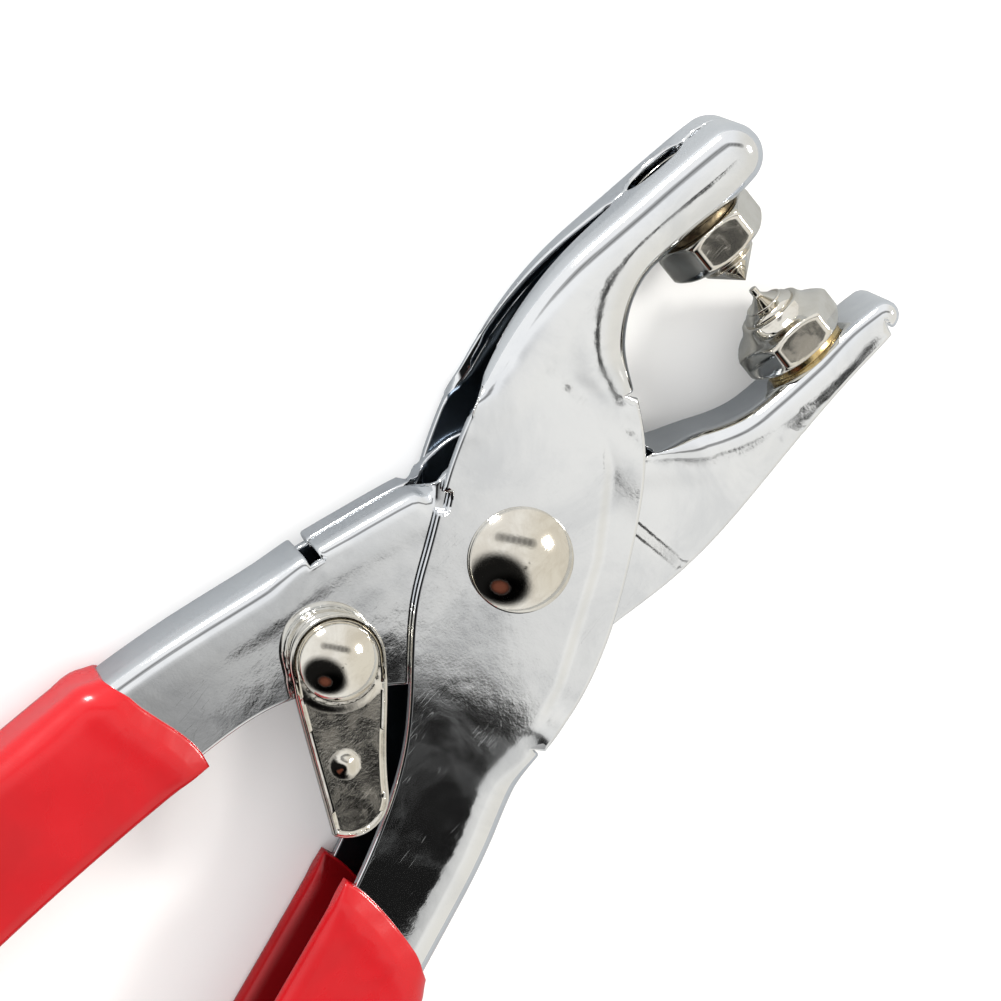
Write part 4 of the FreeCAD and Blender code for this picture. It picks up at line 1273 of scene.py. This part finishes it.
# %% Rings
RINGS = {   # node: (origin, axis)
    "pivot_rear_washer": (PIVOT, (0, 0, 1)), "pivot_sleeve": (PIVOT, (0, 0, 1)),
    "latch_rear_washer": (LATCH, (0, 0, 1)),
    "upper_die_washer": (UPPER_AT, UPPER_WAY), "upper_die_rear_nut": (UPPER_AT, UPPER_WAY),
    "lower_die_washer": (LOWER_AT, LOWER_WAY), "lower_die_rear_nut": (LOWER_AT, LOWER_WAY),
}
rings = {node: finished("turned_" + node, *ring_mesh(node, *place)) for node, place in RINGS.items()}

# %% [markdown]
# ## What the finishes share
# Plating copies the sheet under it: a faint orange peel, fine grain from rolling and a few
# scratches from use. Handling leaves smudges and dust. Several finishes need these, so each is
# one shader group that is built once, with its own amounts in each material. The groups read the
# object's own coordinates in millimetres and put out only numbers.

# %% Group helpers
def effect(name, inputs, outputs):
    """An empty shader group with number sockets: (group, its inputs, its outputs)."""
    tree = bpy.data.node_groups.new(name, "ShaderNodeTree")
    for label, value in inputs.items():
        tree.interface.new_socket(label, in_out="INPUT", socket_type="NodeSocketFloat").default_value = value
    for label in outputs:
        tree.interface.new_socket(label, in_out="OUTPUT", socket_type="NodeSocketFloat")
    return tree, add(tree, "NodeGroupInput").outputs, add(tree, "NodeGroupOutput").inputs


def used(tree, group, values):
    """A group placed in a material, with its own amounts."""
    return add(tree, "ShaderNodeGroup", values, node_tree=group).outputs


def millimetres(tree):
    place = add(tree, "ShaderNodeTexCoord").outputs["Object"]
    return add(tree, "ShaderNodeVectorMath", {0: place, "Scale": 1000.0}, operation="SCALE").outputs[0]


def noise(tree, place, scale, detail=2.0, rough=0.5, bend=0.0):
    return add(tree, "ShaderNodeTexNoise", {"Vector": place, "Scale": scale, "Detail": detail,
                                            "Roughness": rough, "Distortion": bend}).outputs[0]


def stretched(tree, place, scale, turn=(0, 0, 0), shift=(0, 0, 0)):
    return add(tree, "ShaderNodeMapping", {"Vector": place, "Scale": scale, "Rotation": turn,
                                           "Location": shift}).outputs[0]


# %% Orange peel and rolling grain
peel_group, given, result = effect("orange_peel", {
    "Peel": 1.0, "Peel per mm": 0.8, "Grain": 0.3, "Grain per mm": 6.0, "Streaks": 0.2}, ["Height"])
spot = millimetres(peel_group)
peel = maths(peel_group, "MULTIPLY", noise(peel_group, spot, given["Peel per mm"], 1.5), given["Peel"])
grain = maths(peel_group, "MULTIPLY", noise(peel_group, spot, given["Grain per mm"], 3.0, 0.6),
              given["Grain"])
rolled = noise(peel_group, stretched(peel_group, spot, (0.12, 3.2, 3.2), (0, 0, 0.12)), 1.0, 2.0)
streaks = maths(peel_group, "MULTIPLY", rolled, given["Streaks"])
total = maths(peel_group, "ADD", maths(peel_group, "ADD", peel, grain), streaks)
peel_group.links.new(total, result["Height"])

# %% Fine scratches
scratch_group, given, result = effect("fine_scratches", {"Amount": 0.5, "Width": 0.012}, ["Mask"])
spot = millimetres(scratch_group)
lines = None
for turn, shift, lengths in ((0.35, 3.0, (0.16, 1.5, 1.5)), (1.15, 17.0, (0.12, 1.1, 1.1)),
                             (-0.6, 41.0, (0.2, 1.9, 1.9))):
    field = noise(scratch_group, stretched(scratch_group, spot, lengths, (0, 0, turn), (shift, shift, 0)),
                  1.0, 1.0)
    off = maths(scratch_group, "ABSOLUTE", maths(scratch_group, "SUBTRACT", field, 0.5))
    line = ranged(scratch_group, off, 0.0, given["Width"], 1.0, 0.0)
    patches = ranged(scratch_group, noise(scratch_group, stretched(
        scratch_group, spot, (0.22, 0.22, 0.22), (0, 0, 0), (shift, 0, shift)), 1.0, 2.0),
        0.60, 0.68, 0.0, 1.0)
    line = maths(scratch_group, "MULTIPLY", line, patches)
    lines = line if lines is None else maths(scratch_group, "MAXIMUM", lines, line)
scratch_group.links.new(maths(scratch_group, "MULTIPLY", lines, given["Amount"]), result["Mask"])

# %% Smudges and specks
smudge_group, given, result = effect("handling_smudges", {"Per mm": 0.12, "Specks per mm": 1.1,
                                                          "Speck size": 0.06}, ["Smudge", "Specks"])
spot = millimetres(smudge_group)
cloud = noise(smudge_group, spot, given["Per mm"], 5.0, 0.62, 0.5)
smudge_group.links.new(ranged(smudge_group, cloud, 0.38, 0.68, 0.0, 1.0), result["Smudge"])
cells = add(smudge_group, "ShaderNodeTexVoronoi", {"Vector": spot, "Scale": given["Specks per mm"]})
small = ranged(smudge_group, cells.outputs["Distance"], 0.0, given["Speck size"], 1.0, 0.0)
seldom = maths(smudge_group, "GREATER_THAN",
               add(smudge_group, "ShaderNodeSeparateColor", {0: cells.outputs["Color"]}).outputs[0], 0.72)
smudge_group.links.new(maths(smudge_group, "MULTIPLY", small, seldom), result["Specks"])
print("groups:", peel_group.name, scratch_group.name, smudge_group.name)


# %% Material helper
def begin(name):
    """A material with its shader, ready for its nodes."""
    material = bpy.data.materials.get(name) or bpy.data.materials.new(name)
    material.use_nodes = True
    return material, material.node_tree, material.node_tree.nodes["Principled BSDF"]


def bumped(tree, shader, height, depth):
    """A bump whose heights are in mm."""
    bump = add(tree, "ShaderNodeBump", {"Strength": 1.0, "Distance": depth * MM, "Height": height})
    tree.links.new(bump.outputs[0], shader.inputs["Normal"])


def inside_share(tree):
    return add(tree, "ShaderNodeAttribute", attribute_name="inside").outputs["Fac"]


# %% [markdown]
# ## Plated steel
# Bright plating is nearly a mirror, so its look is the room's. Two things make it real: it is
# never flat, and it is duller where the bath hardly reached, inside the channels. The first is a
# bump of a few thousandths of a millimetre, enough to break up the edges of what it mirrors. The
# second is the wall's "inside" attribute, which roughens it. The same attribute also paints the
# inside of the channels a dark navy: that is painted shade.

# %% Chromed steel
chromed, tree, shader = begin("plated_chrome")
marks = used(tree, smudge_group, {"Per mm": 0.10, "Specks per mm": 0.9, "Speck size": 0.05})
scratches = used(tree, scratch_group, {"Amount": 1.0, "Width": 0.010})["Mask"]
inside_shade_and_dullness = inside_share(tree)
plate_tone = mixed(tree, marks["Smudge"], (0.86, 0.875, 0.89, 1), (0.76, 0.78, 0.805, 1))
plate_tone = mixed(tree, maths(tree, "MULTIPLY", marks["Specks"], 0.5), plate_tone, (0.4, 0.41, 0.42, 1))
# Painted shade: each wall's inner side is painted a dark navy, for the shade inside the channels.
tree.links.new(mixed(tree, inside_shade_and_dullness, plate_tone, (0.085, 0.105, 0.13, 1)), shader.inputs["Base Color"])
shader.inputs["Metallic"].default_value = 1.0
dull = ranged(tree, marks["Smudge"], 0.0, 1.0, 0.04, 0.085)
dull = maths(tree, "ADD", dull, maths(tree, "MULTIPLY", scratches, 0.06))
dull = maths(tree, "ADD", dull, maths(tree, "MULTIPLY", inside_shade_and_dullness, 0.25))
tree.links.new(dull, shader.inputs["Roughness"])
surface = used(tree, peel_group, {"Peel": 0.8, "Peel per mm": 0.4, "Grain": 0.16, "Grain per mm": 3.6,
                                  "Streaks": 0.03})["Height"]
surface = maths(tree, "SUBTRACT", surface, maths(tree, "MULTIPLY", scratches, 0.05))
bumped(tree, shader, surface, 0.008)

# %% Nickel, pressed and machined
def nickel_finish(name, grain, depth, low, high):
    """Warm nickel over steel: the pressed pieces keep a coarse grain, the machined ones a fine one."""
    material, tree, shader = begin(name)
    marks = used(tree, smudge_group, {"Per mm": 0.35, "Specks per mm": 1.4, "Speck size": 0.07})
    scratches = used(tree, scratch_group, {"Amount": 0.8, "Width": 0.010})["Mask"]
    tone = mixed(tree, marks["Smudge"], (0.80, 0.77, 0.70, 1), (0.69, 0.65, 0.575, 1))
    tone = mixed(tree, maths(tree, "MULTIPLY", marks["Specks"], 0.6), tone, (0.25, 0.2, 0.14, 1))
    tree.links.new(tone, shader.inputs["Base Color"])
    shader.inputs["Metallic"].default_value = 1.0
    dull = ranged(tree, marks["Smudge"], 0.0, 1.0, low, high)
    dull = maths(tree, "ADD", dull, maths(tree, "MULTIPLY", scratches, 0.06))
    tree.links.new(dull, shader.inputs["Roughness"])
    height = used(tree, peel_group, {"Peel": 0.6, "Peel per mm": 0.6, "Grain": grain,
                                     "Grain per mm": 3.5, "Streaks": 0.03})["Height"]
    height = maths(tree, "SUBTRACT", height, maths(tree, "MULTIPLY", scratches, 0.05))
    bumped(tree, shader, height, depth)
    return material


nickel = nickel_finish("warm_nickel", 0.55, 0.008, 0.06, 0.12)
machined_nickel = nickel_finish("machined_nickel", 0.12, 0.003, 0.05, 0.09)

# %% Darkened washer, brass and wire
def worn_metal(name, metallic, marking, tones, dullness, surface, depth):
    """A metal that drifts between two tones, with specks of a third."""
    material, tree, shader = begin(name)
    clean, tarnished, speck = tones
    marks = used(tree, smudge_group, marking)
    tone = mixed(tree, marks["Smudge"], clean, tarnished)
    tree.links.new(mixed(tree, marks["Specks"], tone, speck), shader.inputs["Base Color"])
    shader.inputs["Metallic"].default_value = metallic
    tree.links.new(ranged(tree, marks["Smudge"], 0.0, 1.0, *dullness), shader.inputs["Roughness"])
    bumped(tree, shader, used(tree, peel_group, surface)["Height"], depth)
    return material


washer_dark = worn_metal(
    "darkened_steel", 0.9, {"Per mm": 0.9, "Specks per mm": 3.0, "Speck size": 0.16},
    ((0.12, 0.095, 0.06, 1), (0.30, 0.24, 0.15, 1), (0.04, 0.03, 0.02, 1)),
    (0.3, 0.5), {"Peel per mm": 2.0, "Grain": 0.6}, 0.012)
washer_brass = worn_metal(
    "turned_brass", 1.0, {"Per mm": 0.7, "Specks per mm": 2.5, "Speck size": 0.12},
    ((0.72, 0.55, 0.27, 1), (0.42, 0.29, 0.12, 1), (0.12, 0.08, 0.03, 1)),
    (0.22, 0.42), {"Peel per mm": 1.5, "Grain": 0.5}, 0.010)
spring_wire = worn_metal(
    "drawn_wire", 1.0, {"Per mm": 0.5, "Specks per mm": 2.0, "Speck size": 0.08},
    ((0.34, 0.34, 0.35, 1), (0.20, 0.20, 0.21, 1), (0.08, 0.07, 0.06, 1)),
    (0.24, 0.4), {"Peel": 0.3, "Grain": 0.5, "Streaks": 0.8}, 0.008)

# %% [markdown]
# ## Dipped plastic
# The grips are soft plastic that flowed before it set, so the surface is glossy and a little
# wavy, with tiny pores. Their inner side, inside the channel, is painted a deeper red as painted
# shade. A clear coat over the colour gives the wet gloss with the long thin highlights; elsewhere
# the colour under it only drifts slowly.

# %% Red dip
red_dip, tree, shader = begin("glossy_red_dip")
marks = used(tree, smudge_group, {"Per mm": 0.05, "Specks per mm": 0.8, "Speck size": 0.05})
tone = mixed(tree, marks["Smudge"], (0.44, 0.006, 0.010, 1), (0.37, 0.003, 0.006, 1))
tone = mixed(tree, maths(tree, "MULTIPLY", marks["Specks"], 0.5), tone, (0.28, 0.003, 0.004, 1))
# Painted shade: the grip's inner side, inside the channel, is painted a darker red.
tree.links.new(mixed(tree, inside_share(tree), tone, (0.20, 0.002, 0.004, 1)), shader.inputs["Base Color"])
tree.links.new(ranged(tree, marks["Smudge"], 0.0, 1.0, 0.26, 0.38), shader.inputs["Roughness"])
shader.inputs["Specular IOR Level"].default_value = 0.25
shader.inputs["Coat Weight"].default_value = 0.4
shader.inputs["Coat Roughness"].default_value = 0.08
shader.inputs["Coat IOR"].default_value = 1.45
flow = used(tree, peel_group, {"Peel": 1.0, "Peel per mm": 0.22, "Grain": 0.05, "Grain per mm": 2.4,
                               "Streaks": 0.05})["Height"]
bumped(tree, shader, maths(tree, "SUBTRACT", flow, maths(tree, "MULTIPLY", marks["Specks"], 0.06)), 0.10)
made_finishes = (chromed, nickel, machined_nickel, washer_dark, washer_brass, spring_wire, red_dip)
print("finishes:", [material.name for material in made_finishes])

# %% [markdown]
# ## Putting the tool together
# Every piece already lies where the frame says. What is left is to give each one its finish, to
# let it ride on the body that it moves with, and to hide the piece of the frame that it stands for.
# The return spring has a foot in each half, so it rides on neither body: its place is baked
# into its mesh and it stays where it lies.

# %% Finish, ride, replace
FINISHES = {"chromed_steel": chromed, "nickel": nickel, "dark_washer": washer_dark,
            "brass": washer_brass, "spring_steel": spring_wire, "red_dip": red_dip}
MACHINED = ("upper_die_nut", "lower_die_nut", "upper_die_point", "lower_die_point",
            "upper_die_rear_nut", "lower_die_rear_nut")
PIECES = {   # node: (piece, body, slot)
    "outer_half": (outer_half, "outer", "chromed_steel"),
    "inner_half": (inner_half, "inner", "chromed_steel"),
    "outer_grip": (outer_grip, "outer", "red_dip"),
    "inner_grip": (inner_grip, "inner", "red_dip"),
    "pivot_rivet": (pivot_rivet, "outer", "nickel"),
    "latch_rivet": (latch_rivet, "inner", "nickel"),
    "latch_lever": (lever, "latch", "nickel"),
    "return_spring": (spring, None, "spring_steel"),       # it is held by both halves
    "upper_die_nut": (upper_nut, "outer", "nickel"),
    "lower_die_nut": (lower_nut, "inner", "nickel"),
    "upper_die_point": (upper_point, "outer", "nickel"),
    "lower_die_point": (lower_point, "inner", "nickel"),
    "pivot_rear_washer": (rings["pivot_rear_washer"], "outer", "nickel"),
    "pivot_sleeve": (rings["pivot_sleeve"], "outer", "nickel"),
    "latch_rear_washer": (rings["latch_rear_washer"], "inner", "nickel"),
    "upper_die_washer": (rings["upper_die_washer"], "outer", "dark_washer"),
    "upper_die_rear_nut": (rings["upper_die_rear_nut"], "outer", "nickel"),
    "lower_die_washer": (rings["lower_die_washer"], "inner", "brass"),
    "lower_die_rear_nut": (rings["lower_die_rear_nut"], "inner", "nickel"),
}
for node, (piece, body, slot) in PIECES.items():
    piece.data.materials.clear()
    piece.data.materials.append(machined_nickel if node in MACHINED else FINISHES[slot])
    if body is None:
        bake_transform(piece)
    else:
        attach(piece, body)
    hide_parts(node)
print("pieces:", len(PIECES), "of", len(nodes), "nodes")
